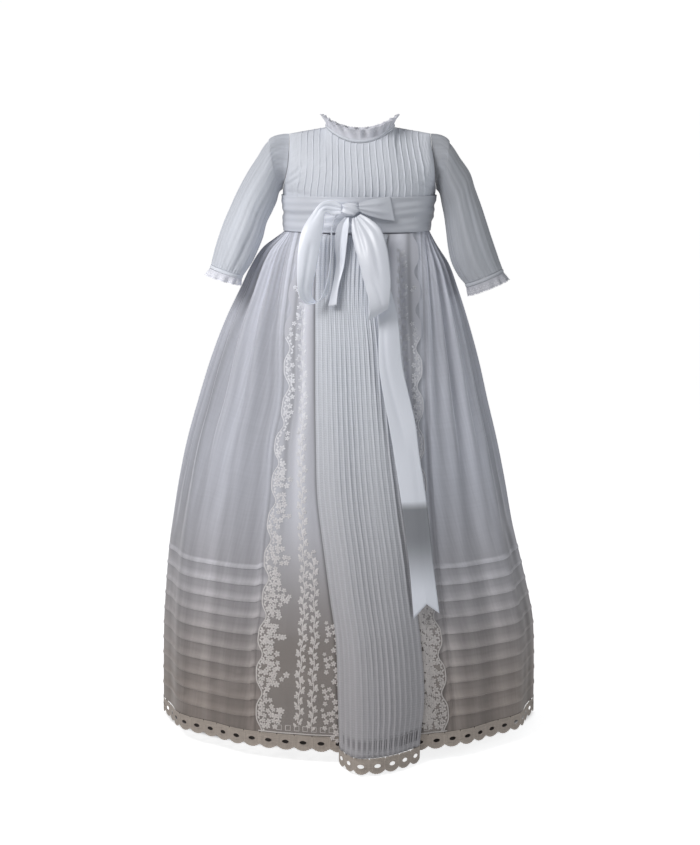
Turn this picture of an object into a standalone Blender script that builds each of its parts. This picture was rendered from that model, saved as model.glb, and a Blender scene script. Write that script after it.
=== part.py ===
"""A baby's lace gown with long sheer sleeves, a satin bow and a tucked overskirt, in its worn form.

Metres, +Z up, front towards -Y, the viewer's right towards +X. The origin is the centre of the neck
at shoulder height, where a wearer carries the gown. Places down the gown are given as drops, which
are metres below the origin. The gown is hollow: every piece is a thin cloth wall.
"""

import math

import bmesh
import bpy
from mathutils import Vector

# Seams and walls
GAP = 0.0003
COTTON_WALL = 0.0015
ORGANZA_WALL = 0.0012
LACE_WALL = 0.0012
LACE_LIFT = 0.0007
RIBBON_WALL = 0.0011

# Bodice: drop, half width at the left and right, half depth, how far the armhole is cut forward
BODICE_END = 0.1470
UNDERARM = 0.090
SHOULDER_SLOPE = 0.009
BODICE = (
    (0.000, 0.1020, 0.1020, 0.0600, 0.0000),
    (0.012, 0.1026, 0.1030, 0.0615, 0.0060),
    (0.030, 0.1035, 0.1050, 0.0660, 0.0165),
    (0.054, 0.1055, 0.1085, 0.0700, 0.0205),
    (0.075, 0.1095, 0.1100, 0.0725, 0.0155),
    (0.090, 0.1130, 0.1110, 0.0735, 0.0000),
    (0.120, 0.1120, 0.1060, 0.0720, 0.0000),
    (0.1474, 0.1105, 0.1015, 0.0710, 0.0000),
)
B_LEFT, B_RIGHT, B_DEPTH, B_ARMHOLE = 1, 2, 3, 4
NECK_SHARE = 0.4925
FRONT_NECK = (0.045, 0.0217)
BACK_NECK = (0.040, 0.0200)
PINTUCKS = 20
PINTUCK_REACH = 0.83
PINTUCK_RISE = 0.0009
PINTUCK_HALF = 0.0119
NECK_FADE = 2.4
ARMHOLE_SPREAD = 6

# Skirt: drop, left and right half widths, half depth, gather depth, broad fold depth, lining inset
SKIRT_TOP = 0.1474
SKIRT_END = 0.8570
SKIRT = (
    (0.1474, 0.1105, 0.1015, 0.0710, 0.0000, 0.0000, 0.0018),
    (0.1515, 0.1120, 0.1025, 0.0722, 0.0000, 0.0000, 0.0044),
    (0.1620, 0.1260, 0.1080, 0.0780, 0.0050, 0.0000, 0.0105),
    (0.1750, 0.1430, 0.1155, 0.0820, 0.0080, 0.0000, 0.0150),
    (0.2000, 0.1600, 0.1315, 0.0870, 0.0100, 0.0010, 0.0175),
    (0.2330, 0.1760, 0.1440, 0.0915, 0.0105, 0.0020, 0.0190),
    (0.2840, 0.2005, 0.1605, 0.1005, 0.0105, 0.0030, 0.0200),
    (0.3430, 0.2230, 0.1770, 0.1120, 0.0100, 0.0045, 0.0200),
    (0.4040, 0.2420, 0.1910, 0.1250, 0.0090, 0.0060, 0.0200),
    (0.4640, 0.2590, 0.2055, 0.1380, 0.0070, 0.0075, 0.0195),
    (0.5250, 0.2720, 0.2180, 0.1510, 0.0045, 0.0085, 0.0190),
    (0.5860, 0.2820, 0.2290, 0.1640, 0.0015, 0.0095, 0.0180),
    (0.6120, 0.2860, 0.2350, 0.1695, 0.0000, 0.0100, 0.0180),
    (0.6480, 0.2900, 0.2440, 0.1770, 0.0000, 0.0100, 0.0180),
    (0.7100, 0.2950, 0.2580, 0.1900, 0.0000, 0.0105, 0.0180),
    (0.7410, 0.2970, 0.2630, 0.1960, 0.0000, 0.0110, 0.0180),
    (0.8040, 0.2985, 0.2650, 0.2090, 0.0000, 0.0115, 0.0180),
    (0.8570, 0.2990, 0.2650, 0.2200, 0.0000, 0.0120, 0.0180),
    (0.8800, 0.2990, 0.2650, 0.2240, 0.0000, 0.0120, 0.0180),
)
S_LEFT, S_RIGHT, S_DEPTH, S_GATHER, S_BROAD, S_INSET = 1, 2, 3, 4, 5, 6
GATHERED_DROPS = (0.1515, 0.1620, 0.1800, 0.2150, 0.2840, 0.3750, 0.4800, 0.5860)
SIDE_FOLDS = 5
BACK_FOLDS = 12
COLUMNS_PER_FOLD = 3
BROAD_SIDE_WAVES = 2
BROAD_BACK_WAVES = 4
BROAD_SIDE_SPAN = 56.0
TUCKED_TOP = 0.6120
TUCKS = 10
FIRST_TUCK = 0.6280
TUCK_STEP = 0.0233
TUCK_WIDTH = 0.0068
TUCK_RISE = 0.0016
TUCK_EDGE = 0.0005
SIDE_TUCK_COLUMNS = 6
BACK_TUCK_COLUMNS = 16
UNDER_LACE_PLACES = (1.35, 2.0)
GATHER_MEAN = 0.78
GATHER_CHANGE = 0.22
GATHER_TURN = 2.4
GATHER_START = 0.8

# Lace panels: drop, where the scalloped edge lies at the left and at the right
LACE_TOP = 0.1524
LACE_EDGE = (
    (0.1474, -0.0860, 0.0830),
    (0.1750, -0.0930, 0.0840),
    (0.2200, -0.1010, 0.0860),
    (0.2890, -0.1090, 0.0880),
    (0.3890, -0.1120, 0.0910),
    (0.4460, -0.1230, 0.0920),
    (0.5310, -0.1300, 0.0970),
    (0.5870, -0.1370, 0.1010),
    (0.6720, -0.1415, 0.1105),
    (0.7420, -0.1490, 0.1195),
    (0.8000, -0.1500, 0.1250),
    (0.8700, -0.1500, 0.1290),
)
LACE_UNDERLAP = 0.0105
LACE_CLEAR = 0.010
SCALLOPS = 13
SCALLOP_DEPTH = 0.008
SCALLOP_SHAPE = (1.0, 0.25, 0.0, 0.25)
LACE_TUCK_UNDER = 0.013
LACE_FOLD = 0.0040
LACE_FOLD_SPAN = (0.32, 0.76)
LACE_FOLD_LEAST = 0.25
LACE_FOLD_FADE = 0.50
LACE_FOLD_START = 0.04
LACE_FIRST_COLUMN = 0.012
LACE_COLUMNS = (0.43, 0.54, 0.65, 0.76, 1.0)
LACE_DROPS = (LACE_TOP, 0.1620, 0.1800, 0.2150, 0.2840, 0.3750, 0.4800, 0.5860, 0.7000, 0.7800, 0.8570)

# Centre panel: drop, left edge, right edge, how far its middle stands forward
PANEL_TOP = 0.1546
PANEL_END = 0.8720
PANEL = (
    (0.1506, -0.0600, 0.0400, 0.0030),
    (0.1700, -0.0620, 0.0360, 0.0040),
    (0.2450, -0.0640, 0.0330, 0.0055),
    (0.3150, -0.0640, 0.0400, 0.0080),
    (0.3860, -0.0640, 0.0455, 0.0110),
    (0.4600, -0.0630, 0.0520, 0.0150),
    (0.5260, -0.0610, 0.0600, 0.0200),
    (0.6090, -0.0505, 0.0710, 0.0310),
    (0.6650, -0.0430, 0.0775, 0.0370),
    (0.7210, -0.0350, 0.0850, 0.0430),
    (0.8030, -0.0320, 0.0905, 0.0490),
    (0.8720, -0.0300, 0.0840, 0.0500),
    (0.9000, -0.0300, 0.0830, 0.0500),
)
PANEL_NOSE = -0.42
PANEL_TUCKS = 16
PANEL_TUCK_RISE = 0.0009
PANEL_TUCK_SHARE = 0.0196
PANEL_ARCH = 0.85

# Hem lace: scalloped edging with one oval hole to each scallop
HEM_PERIOD = 0.0262
HEM_VALLEY = 0.0165
HEM_DEPTH = 0.0215
HEM_HOLE_DROP = 0.0105
HEM_HOLE = (0.0052, 0.0026)
HEM_HOLE_SIDES = 6
HEM_LOW_POINTS = ((0.25, 0.8), (0.75, 0.8))
LENGTH_STEPS = 400

# Underskirt, which shows through the organza
LINING_DROPS = (0.1474, 0.1620, 0.1900, 0.2500, 0.4200, 0.7250)

# Sleeves: station, outer edge X and drop, inner edge X and drop, centre Y, half depth
SLEEVE_LEFT = (
    (0, -0.1060, 0.0090, -0.1130, 0.0900, 0.0000, 0.0200),
    (1, -0.1340, 0.0210, -0.1185, 0.0945, -0.0020, 0.0300),
    (2, -0.1510, 0.0450, -0.1225, 0.1090, -0.0050, 0.0340),
    (3, -0.1660, 0.0680, -0.1290, 0.1240, -0.0100, 0.0345),
    (4, -0.1780, 0.0910, -0.1365, 0.1400, -0.0160, 0.0335),
    (5, -0.1890, 0.1150, -0.1415, 0.1600, -0.0230, 0.0325),
    (6, -0.1990, 0.1380, -0.1500, 0.1800, -0.0300, 0.0310),
    (7, -0.2080, 0.1640, -0.1580, 0.1950, -0.0370, 0.0290),
    (8, -0.2145, 0.1860, -0.1665, 0.2070, -0.0420, 0.0260),
    (9, -0.2170, 0.1970, -0.1710, 0.2135, -0.0450, 0.0225),
    (10, -0.2190, 0.2020, -0.1725, 0.2180, -0.0465, 0.0225),
    (11, -0.2260, 0.2130, -0.1745, 0.2280, -0.0490, 0.0255),
)
SLEEVE_RIGHT = (
    (0, 0.1070, 0.0090, 0.1120, 0.0900, 0.0000, 0.0200),
    (1, 0.1310, 0.0230, 0.1170, 0.0960, -0.0020, 0.0300),
    (2, 0.1470, 0.0450, 0.1205, 0.1120, -0.0050, 0.0340),
    (3, 0.1610, 0.0660, 0.1240, 0.1280, -0.0090, 0.0345),
    (4, 0.1680, 0.0890, 0.1260, 0.1440, -0.0150, 0.0335),
    (5, 0.1760, 0.1130, 0.1275, 0.1600, -0.0210, 0.0325),
    (6, 0.1840, 0.1380, 0.1295, 0.1780, -0.0270, 0.0310),
    (7, 0.1920, 0.1620, 0.1340, 0.1960, -0.0330, 0.0290),
    (8, 0.2015, 0.1880, 0.1430, 0.2135, -0.0380, 0.0260),
    (9, 0.2075, 0.2035, 0.1530, 0.2255, -0.0410, 0.0235),
    (10, 0.2095, 0.2085, 0.1550, 0.2310, -0.0420, 0.0235),
    (11, 0.2175, 0.2205, 0.1585, 0.2440, -0.0450, 0.0260),
)
SLEEVE_STATIONS = (0.0, 0.45, 1.2, 2.4, 3.8, 5.2, 6.8, 8.2, 8.95)
SLEEVE_FOLDS = 8
SLEEVE_FOLD_DEPTH = 0.0022
SLEEVE_FULLNESS = 0.6
FOLD_BIAS = 0.4
SLEEVE_END = 9.0
ARMHOLE_CLEAR = 0.0008
ARMHOLE_LEAST = 0.0006
CAP_PUFF = 0.010
CAP_START = 0.25
CUFF_RISE = 0.0006
CUFF_SIDES = 20
CUFF_STATIONS = (9.05, 9.95)
FRILL_START = 10.0
FRILL_STATIONS = (10.03, 11.0)
FRILL_WAVES_CUFF = 12
FRILL_WAVES_NECK = 22
FRILL_SWING_CUFF = 0.0024
FRILL_SWING_NECK = 0.0026
NECK_BAND_HEIGHT = 0.0045
NECK_FRILL_HEIGHT = 0.0150
NECK_FRILL_FLARE = 0.0060
NECK_FRILL_CURL = 1.6
NECK_SIDES = 32

# Waist band of wide satin ribbon, over the pintucks
BAND_TOP = 0.0980
BAND_END = 0.1500
BAND_DROPS = (BAND_TOP, 0.1110, 0.1240, 0.1370, BAND_END)
BAND_SIDES = 40
BAND_LIFT = 0.0030
BAND_WRINKLE = 0.0008

# Bow: ribbon rows are station, one edge (X, Y, drop), the other edge (X, Y, drop), cup
KNOT_CENTRE = (-0.0148, -0.0857, -0.1150)
KNOT_HALF = (0.0120, 0.0092, 0.0112)
KNOT_SQUARE = 0.6
KNOT_TIP = 1.35
KNOT_SIDES = 12
KNOT_RINGS = 5
LOOP_LEFT = (
    (0, -0.0275, -0.0905, 0.1080, -0.0275, -0.0905, 0.1210, 0.0000),
    (1, -0.0400, -0.0930, 0.1020, -0.0400, -0.0920, 0.1230, 0.0010),
    (2, -0.0560, -0.0975, 0.1050, -0.0480, -0.0970, 0.1190, 0.0020),
    (3, -0.0690, -0.1030, 0.1200, -0.0510, -0.1010, 0.1220, 0.0030),
    (4, -0.0830, -0.1130, 0.1420, -0.0530, -0.1060, 0.1430, 0.0050),
    (5, -0.0885, -0.1230, 0.1680, -0.0580, -0.1130, 0.1720, 0.0050),
    (6, -0.0900, -0.1310, 0.2000, -0.0640, -0.1190, 0.2020, 0.0040),
    (7, -0.0890, -0.1340, 0.2250, -0.0700, -0.1190, 0.2290, 0.0020),
    (8, -0.0840, -0.1300, 0.2400, -0.0670, -0.1130, 0.2420, 0.0000),
    (9, -0.0740, -0.1210, 0.2480, -0.0590, -0.1080, 0.2450, -0.0010),
    (10, -0.0590, -0.1170, 0.2430, -0.0470, -0.1040, 0.2330, -0.0020),
    (11, -0.0480, -0.1150, 0.2170, -0.0420, -0.1010, 0.2030, -0.0020),
    (12, -0.0430, -0.1090, 0.1800, -0.0420, -0.0960, 0.1720, -0.0010),
    (13, -0.0420, -0.0990, 0.1440, -0.0400, -0.0890, 0.1400, 0.0000),
    (14, -0.0350, -0.0890, 0.1250, -0.0360, -0.0845, 0.1250, 0.0000),
    (15, -0.0275, -0.0870, 0.1190, -0.0275, -0.0830, 0.1190, 0.0000),
)
LOOP_RIGHT = (
    (0, -0.0120, -0.0935, 0.1285, 0.0005, -0.0920, 0.1215, 0.0000),
    (1, -0.0125, -0.1000, 0.1450, 0.0150, -0.0995, 0.1290, 0.0020),
    (2, -0.0090, -0.1100, 0.1640, 0.0290, -0.1090, 0.1420, 0.0040),
    (3, -0.0040, -0.1190, 0.1820, 0.0380, -0.1180, 0.1680, 0.0050),
    (4, 0.0050, -0.1300, 0.2160, 0.0430, -0.1290, 0.2100, 0.0040),
    (5, 0.0110, -0.1370, 0.2380, 0.0420, -0.1360, 0.2380, 0.0020),
    (6, 0.0130, -0.1380, 0.2560, 0.0400, -0.1330, 0.2520, 0.0000),
    (7, 0.0120, -0.1300, 0.2700, 0.0370, -0.1240, 0.2560, -0.0010),
    (8, 0.0160, -0.1210, 0.2600, 0.0370, -0.1170, 0.2440, -0.0010),
    (9, 0.0130, -0.1120, 0.2250, 0.0360, -0.1110, 0.2100, 0.0000),
    (10, 0.0050, -0.1020, 0.1820, 0.0250, -0.1010, 0.1650, 0.0000),
    (11, -0.0050, -0.0945, 0.1450, 0.0080, -0.0945, 0.1380, 0.0000),
    (12, -0.0110, -0.0885, 0.1268, -0.0040, -0.0885, 0.1268, 0.0000),
)
TAIL_SHORT = (
    (0, -0.0230, -0.0880, 0.1268, -0.0160, -0.0880, 0.1268, 0.0000),
    (1, -0.0330, -0.0930, 0.1400, -0.0165, -0.0940, 0.1380, -0.0030),
    (2, -0.0370, -0.0960, 0.1650, -0.0200, -0.0990, 0.1660, -0.0040),
    (3, -0.0350, -0.0980, 0.1900, -0.0240, -0.1020, 0.1960, -0.0020),
    (4, -0.0390, -0.1060, 0.2200, -0.0310, -0.1080, 0.2240, 0.0000),
    (5, -0.0460, -0.1120, 0.2520, -0.0340, -0.1130, 0.2500, 0.0000),
)
TAIL_LONG = (
    (0, -0.0140, -0.0842, 0.1266, -0.0060, -0.0842, 0.1266, 0.0000),
    (1, 0.0000, -0.0860, 0.1500, 0.0150, -0.0850, 0.1480, 0.0000),
    (2, 0.0120, -0.0960, 0.1950, 0.0320, -0.0930, 0.1930, 0.0000),
    (3, 0.0250, -0.1130, 0.2650, 0.0530, -0.1090, 0.2650, 0.0020),
    (4, 0.0270, -0.1300, 0.3400, 0.0610, -0.1200, 0.3400, 0.0030),
    (5, 0.0400, -0.1420, 0.4150, 0.0780, -0.1370, 0.4150, 0.0010),
    (6, 0.0480, -0.1480, 0.4600, 0.0840, -0.1450, 0.4600, 0.0020),
    (7, 0.0590, -0.1620, 0.5330, 0.0955, -0.1580, 0.5320, 0.0030),
    (8, 0.0700, -0.1790, 0.6200, 0.1050, -0.1740, 0.6200, 0.0020),
    (9, 0.0760, -0.1930, 0.6910, 0.1130, -0.1860, 0.6850, 0.0000),
)
TAIL_NOTCH = 0.0170
WING_RIGHT = (
    (0, -0.0022, -0.0875, 0.1060, -0.0022, -0.0875, 0.1180, 0.0000),
    (1, 0.0110, -0.0845, 0.1020, 0.0110, -0.0855, 0.1240, 0.0010),
    (2, 0.0280, -0.0805, 0.0990, 0.0280, -0.0810, 0.1290, 0.0010),
    (3, 0.0430, -0.0722, 0.0970, 0.0500, -0.0694, 0.1330, 0.0000),
)

# Back closing, hidden in the photo and made plainly
PLACKET_HALF = 0.0065
PLACKET_START = 0.015
PLACKET_END = 0.600
PLACKET_STEPS = 6
BUTTONS = 4
BUTTON_RADIUS = 0.0045
BUTTON_THICKNESS = 0.0022
BUTTON_SIDES = 12
BUTTON_FIRST = 0.0310
BUTTON_STEP = 0.0180

# Colours as linear values, with roughness
COTTON = ("white_cotton", (0.62, 0.65, 0.70), 0.85)
ORGANZA = ("white_organza", (0.48, 0.48, 0.52), 0.60)
LACE = ("white_lace", (0.45, 0.43, 0.44), 0.90)
HEM_LACE = ("hem_lace", (0.30, 0.27, 0.24), 0.90)
SATIN = ("white_satin", (0.72, 0.75, 0.80), 0.30)
LINING = ("white_lining", (0.55, 0.55, 0.58), 0.80)
BUTTON = ("white_button", (0.75, 0.75, 0.74), 0.35)


def clear_scene():
    """Start with nothing in the file."""
    for item in list(bpy.data.objects):
        bpy.data.objects.remove(item, do_unlink=True)


def finish_for(look):
    """The material of one cloth, made once."""
    name, colour, roughness = look
    material = bpy.data.materials.get(name)
    if material is None:
        material = bpy.data.materials.new(name)
        material.use_nodes = True
        shader = material.node_tree.nodes["Principled BSDF"]
        shader.inputs["Base Color"].default_value = (*colour, 1.0)
        shader.inputs["Roughness"].default_value = roughness
        shader.inputs["Metallic"].default_value = 0.0
    return material


def read(table, key, column):
    """Value of one column where the first column reaches key, along a smooth curve."""
    last = len(table) - 1
    if key <= table[0][0]:
        return table[0][column]
    if key >= table[last][0]:
        return table[last][column]
    row = next(number for number in range(last) if key <= table[number + 1][0])

    def slope(number):
        before = table[max(number - 1, 0)]
        after = table[min(number + 1, last)]
        return (after[column] - before[column]) / (after[0] - before[0])

    span = table[row + 1][0] - table[row][0]
    t = (key - table[row][0]) / span
    start = (1 + 2 * t) * (1 - t) ** 2 * table[row][column] + t * (1 - t) ** 2 * span * slope(row)
    end = t * t * (3 - 2 * t) * table[row + 1][column] + t * t * (t - 1) * span * slope(row + 1)
    return start + end


class Cloth:
    """Where a piece of cloth lies, for a place across it and a place down it."""

    def __init__(self, place, across_step, down_step, facing=1.0, hold=None):
        self.place = place
        self.across_step = across_step
        self.down_step = down_step
        self.facing = facing
        self.hold = hold

    def at(self, across, down, rise=0.0):
        """A point of the cloth, moved out along its normal by rise."""
        point = self.place(across, down)
        sideways = self.place(across + self.across_step, down) - self.place(across - self.across_step, down)
        downward = self.place(across, down + self.down_step) - self.place(across, down - self.down_step)
        point = point + downward.cross(sideways).normalized() * rise * self.facing
        return self.hold(point) if self.hold else point


def keep_front(point):
    """Hold a front piece just in front of the side seams."""
    return Vector((point.x, min(point.y, -GAP / 2), point.z))


def keep_back(point):
    """Hold a back piece just behind the side seams."""
    return Vector((point.x, max(point.y, GAP / 2), point.z))


def keep_back_left(point):
    """Hold a back piece to the left of the centre back."""
    return Vector((min(point.x, -GAP / 2), max(point.y, GAP / 2), point.z))


def keep_back_right(point):
    """Hold a back piece to the right of the centre back."""
    return Vector((max(point.x, GAP / 2), max(point.y, GAP / 2), point.z))


class Body:
    """Collects the points and faces of one closed solid."""

    def __init__(self):
        self.points = []
        self.faces = []

    def line(self, points):
        """Add a row of points and give their numbers."""
        first = len(self.points)
        self.points.extend(points)
        return list(range(first, first + len(points)))

    def stations(self, line):
        """How far along the line each point lies, from 0 to 1."""
        reached = [0.0]
        for a, b in zip(line, line[1:]):
            reached.append(reached[-1] + (self.points[b] - self.points[a]).length)
        return [distance / reached[-1] for distance in reached]

    def stitch(self, first, second, closed=False):
        """Join two lines of points with faces, also where one has more points than the other."""
        if closed:
            first = first + first[:1]
            second = second + second[:1]
        if len(first) == len(second):
            for a, b, c, d in zip(first, first[1:], second[1:], second):
                self.faces.append((a, b, c, d))
            return
        along_first = self.stations(first)
        along_second = self.stations(second)
        i = j = 0
        while i < len(first) - 1 or j < len(second) - 1:
            first_done = i == len(first) - 1
            second_done = j == len(second) - 1
            if second_done or (not first_done and along_first[i + 1] <= along_second[j + 1]):
                self.faces.append((first[i], first[i + 1], second[j]))
                i += 1
            else:
                self.faces.append((first[i], second[j + 1], second[j]))
                j += 1

    def make(self, name, look, smooth=True):
        """Turn the points and faces into a named object, faces pointing out."""
        mesh = bpy.data.meshes.new(name)
        mesh.from_pydata([tuple(point) for point in self.points], [], self.faces)
        work = bmesh.new()
        work.from_mesh(mesh)
        bmesh.ops.recalc_face_normals(work, faces=work.faces)
        if work.calc_volume(signed=True) < 0:
            bmesh.ops.reverse_faces(work, faces=work.faces)
        work.to_mesh(mesh)
        work.free()
        mesh.materials.append(finish_for(look))
        if smooth:
            mesh.shade_smooth()
        piece = bpy.data.objects.new(name, mesh)
        bpy.context.scene.collection.objects.link(piece)
        return piece


def make_wall(name, look, outer, inner, closed=False):
    """A cloth wall between its outer lines of points and its inner ones."""
    body = Body()
    skins = []
    for lines in (outer, inner):
        skin = [body.line(points) for points in lines]
        for a, b in zip(skin, skin[1:]):
            body.stitch(a, b, closed)
        skins.append(skin)
    body.stitch(skins[0][0], skins[1][0], closed)
    body.stitch(skins[0][-1], skins[1][-1], closed)
    if not closed:
        for end in (0, -1):
            body.stitch([line[end] for line in skins[0]], [line[end] for line in skins[1]])
    return body.make(name, look)


def spread(start, end, count):
    """Even places from start to end, with count steps between them."""
    return [start + (end - start) * step / count for step in range(count + 1)]


def across_lines(cloth, drops, places, rise):
    """Lines of points across a cloth, one for each drop."""
    return [[cloth.at(place, drop, rise) for place in places] for drop in drops]


def mix(a, b, share):
    """Between a and b by share."""
    return a + (b - a) * share


def ease(value):
    """A smooth step from 0 to 1."""
    value = min(max(value, 0.0), 1.0)
    return value * value * (3 - 2 * value)


def bodice_side(share, drop):
    """Half width of the bodice on the side that share lies on."""
    return read(BODICE, drop, B_RIGHT if share > 0 else B_LEFT)


def bodice_place(neck, back):
    """The bodice front or back: across is -1 to 1, down is 0 at the shoulder and 1 at the waist."""
    neck_depth, neck_drop = neck
    facing = 1.0 if back else -1.0

    def place(share, down):
        share = min(max(share, -1.0), 1.0)
        inside = 1 - (share / NECK_SHARE) ** 2
        if inside > 0:
            top_drop = neck_drop * inside
            top_depth = neck_depth * math.sqrt(inside)
        else:
            top_drop = SHOULDER_SLOPE * (abs(share) - NECK_SHARE) / (1 - NECK_SHARE)
            top_depth = 0.0
        drop = mix(top_drop, BODICE_END, down)
        lean = max(0.0, 1 - 2 * down) ** NECK_FADE
        round_depth = read(BODICE, drop, B_DEPTH) * math.sqrt(1 - share * share)
        cut = read(BODICE, drop, B_ARMHOLE) * share ** ARMHOLE_SPREAD
        depth = (round_depth + cut) * (1 - lean) + top_depth * lean
        return Vector((share * bodice_side(share, drop), facing * depth, -drop))

    return place


FRONT_PLACE = bodice_place(FRONT_NECK, back=False)
BACK_PLACE = bodice_place(BACK_NECK, back=True)
BODICE_DOWNS = (0.0, 0.09, 0.22, 0.40, 0.66, 1.0)


def pintuck_columns():
    """Places across the bodice front with how far each is raised: base, crest and base of each tuck."""
    columns = [(-1.0, 0.0), (-0.90, 0.0)]
    for middle in spread(-PINTUCK_REACH, PINTUCK_REACH, PINTUCKS - 1):
        columns.append((middle - PINTUCK_HALF, 0.0))
        columns.append((middle, PINTUCK_RISE))
        columns.append((middle + PINTUCK_HALF, 0.0))
    columns += [(-0.455, 0.0), (0.455, 0.0), (0.90, 0.0), (1.0, 0.0)]
    return sorted(columns)


def make_bodice():
    """Front with pintucks and two plain back panels."""
    front = Cloth(FRONT_PLACE, 0.004, 0.004, 1.0, keep_front)
    outer = [[front.at(share, down, rise) for share, rise in pintuck_columns()] for down in BODICE_DOWNS]
    half = (0.0, 0.14, 0.28, 0.38, 0.45, NECK_SHARE, 0.66, 0.82, 0.93, 1.0)
    plain = sorted({-share for share in half} | set(half))
    inner = across_lines(front, BODICE_DOWNS, plain, -COTTON_WALL)
    make_wall("bodice_front", COTTON, outer, inner)
    for side, sign, hold in (("left", -1, keep_back_left), ("right", 1, keep_back_right)):
        back = Cloth(BACK_PLACE, 0.004, 0.004, -1.0, hold)
        places = [sign * share for share in half]
        outer = across_lines(back, BODICE_DOWNS, places, 0.0)
        inner = across_lines(back, BODICE_DOWNS, places, -COTTON_WALL)
        make_wall(f"bodice_back_{side}", COTTON, outer, inner)


def make_placket():
    """Strip over the centre back opening, with its buttons."""
    back = Cloth(BACK_PLACE, 0.004, 0.004, -1.0)
    downs = spread(PLACKET_START, PLACKET_END, PLACKET_STEPS)
    half = PLACKET_HALF / BODICE[3][B_RIGHT]
    places = spread(-half, half, 2)
    outer = across_lines(back, downs, places, GAP + LACE_WALL)
    inner = across_lines(back, downs, places, GAP)
    make_wall("back_placket", COTTON, outer, inner)
    for number in range(BUTTONS):
        drop = BUTTON_FIRST + number * BUTTON_STEP
        down = (drop - BACK_NECK[1]) / (BODICE_END - BACK_NECK[1])
        seat = back.at(0.0, down, 2 * GAP + LACE_WALL)
        tip = back.at(0.0, down, 2 * GAP + LACE_WALL + BUTTON_THICKNESS)
        bpy.ops.mesh.primitive_cylinder_add(
            vertices=BUTTON_SIDES, radius=BUTTON_RADIUS, depth=BUTTON_THICKNESS
        )
        button = bpy.context.object
        button.name = f"button_{number + 1}"
        button.rotation_euler = (tip - seat).to_track_quat("Z", "Y").to_euler()
        button.location = (seat + tip) / 2
        button.data.materials.append(finish_for(BUTTON))


def neck_place(band_rise, flare, waves, swing):
    """Standing cloth round the neck: across is the angle in degrees, down is the height below its top."""

    def place(angle, height):
        turn = math.radians(angle)
        share = NECK_SHARE * math.sin(turn)
        front = math.cos(turn) > 0
        base = (FRONT_PLACE if front else BACK_PLACE)(share, 0.0)
        depth = FRONT_NECK[0] if front else BACK_NECK[0]
        base = Vector((base.x, -depth * math.cos(turn), base.z))
        out = Vector((math.sin(turn), -math.cos(turn), 0.0))
        climb = max(height, 0.0) / NECK_FRILL_HEIGHT
        push = flare * climb ** NECK_FRILL_CURL + swing * climb * math.cos(waves * turn)
        return base + out * push + Vector((0.0, 0.0, band_rise + height))

    return place


def make_neck():
    """Narrow band on the neckline and the gathered frill that stands on it."""
    band = Cloth(neck_place(0.0, 0.0, 0, 0.0), 0.3, 0.0004)
    angles = spread(0.0, 360.0, NECK_SIDES)[:-1]
    heights = (2 * GAP, NECK_BAND_HEIGHT)
    outer = across_lines(band, heights, angles, 0.0)
    inner = across_lines(band, heights, angles, LACE_WALL)
    make_wall("neck_band", COTTON, outer, inner, closed=True)
    frill = neck_place(NECK_BAND_HEIGHT + GAP, NECK_FRILL_FLARE, FRILL_WAVES_NECK, FRILL_SWING_NECK)
    frill = Cloth(frill, 0.3, 0.0004)
    angles = spread(0.0, 360.0, FRILL_WAVES_NECK * COLUMNS_PER_FOLD)[:-1]
    heights = (0.0, NECK_FRILL_HEIGHT)
    outer = across_lines(frill, heights, angles, 0.0)
    inner = across_lines(frill, heights, angles, LACE_WALL)
    make_wall("neck_ruffle", LACE, outer, inner, closed=True)


def armhole(sign, turn):
    """A point of the armhole seam. A turn of 0 is its top, and a quarter turn its front."""
    drop = mix(SHOULDER_SLOPE, UNDERARM, (1 - math.cos(turn)) / 2)
    down = (drop - SHOULDER_SLOPE) / (BODICE_END - SHOULDER_SLOPE)
    place = FRONT_PLACE if math.sin(turn) > 0 else BACK_PLACE
    return place(float(sign), down)


def sleeve_place(table, sign, folds, fold_depth, swing_from=None):
    """A sleeve: across is the turn in degrees, down is the station in its table."""

    def ring(turn, station):
        outer = Vector((read(table, station, 1), 0.0, -read(table, station, 2)))
        inner = Vector((read(table, station, 3), 0.0, -read(table, station, 4)))
        middle = (outer + inner) / 2 + Vector((0.0, read(table, station, 5), 0.0))
        half = (outer - inner) / 2
        if swing_from is None:
            reached = min(max(station / SLEEVE_END, 0.0), 1.0)
            fullness = abs(math.sin(math.pi * reached)) ** SLEEVE_FULLNESS
        else:
            fullness = min(max(station - swing_from, 0.0), 1.0)
        swell = 1 + fullness * fold_depth / half.length * (math.cos(folds * turn) - FOLD_BIAS)
        across = half * math.cos(turn) * swell
        depth = Vector((0.0, -read(table, station, 6) * math.sin(turn) * swell, 0.0))
        return middle + across + depth

    def place(angle, station):
        turn = math.radians(angle)
        if station >= 1.0:
            return ring(turn, station)
        seam = armhole(sign, turn) + Vector((sign * ARMHOLE_CLEAR, 0.0, 0.0))
        share = ease(station)
        puff = Vector((sign * CAP_PUFF, 0.0, 0.0)) * math.sin(math.pi * max(station, 0.0))
        return mix(seam, ring(turn, max(station, CAP_START)), share) + puff * math.cos(turn / 2) ** 2

    return place


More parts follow.
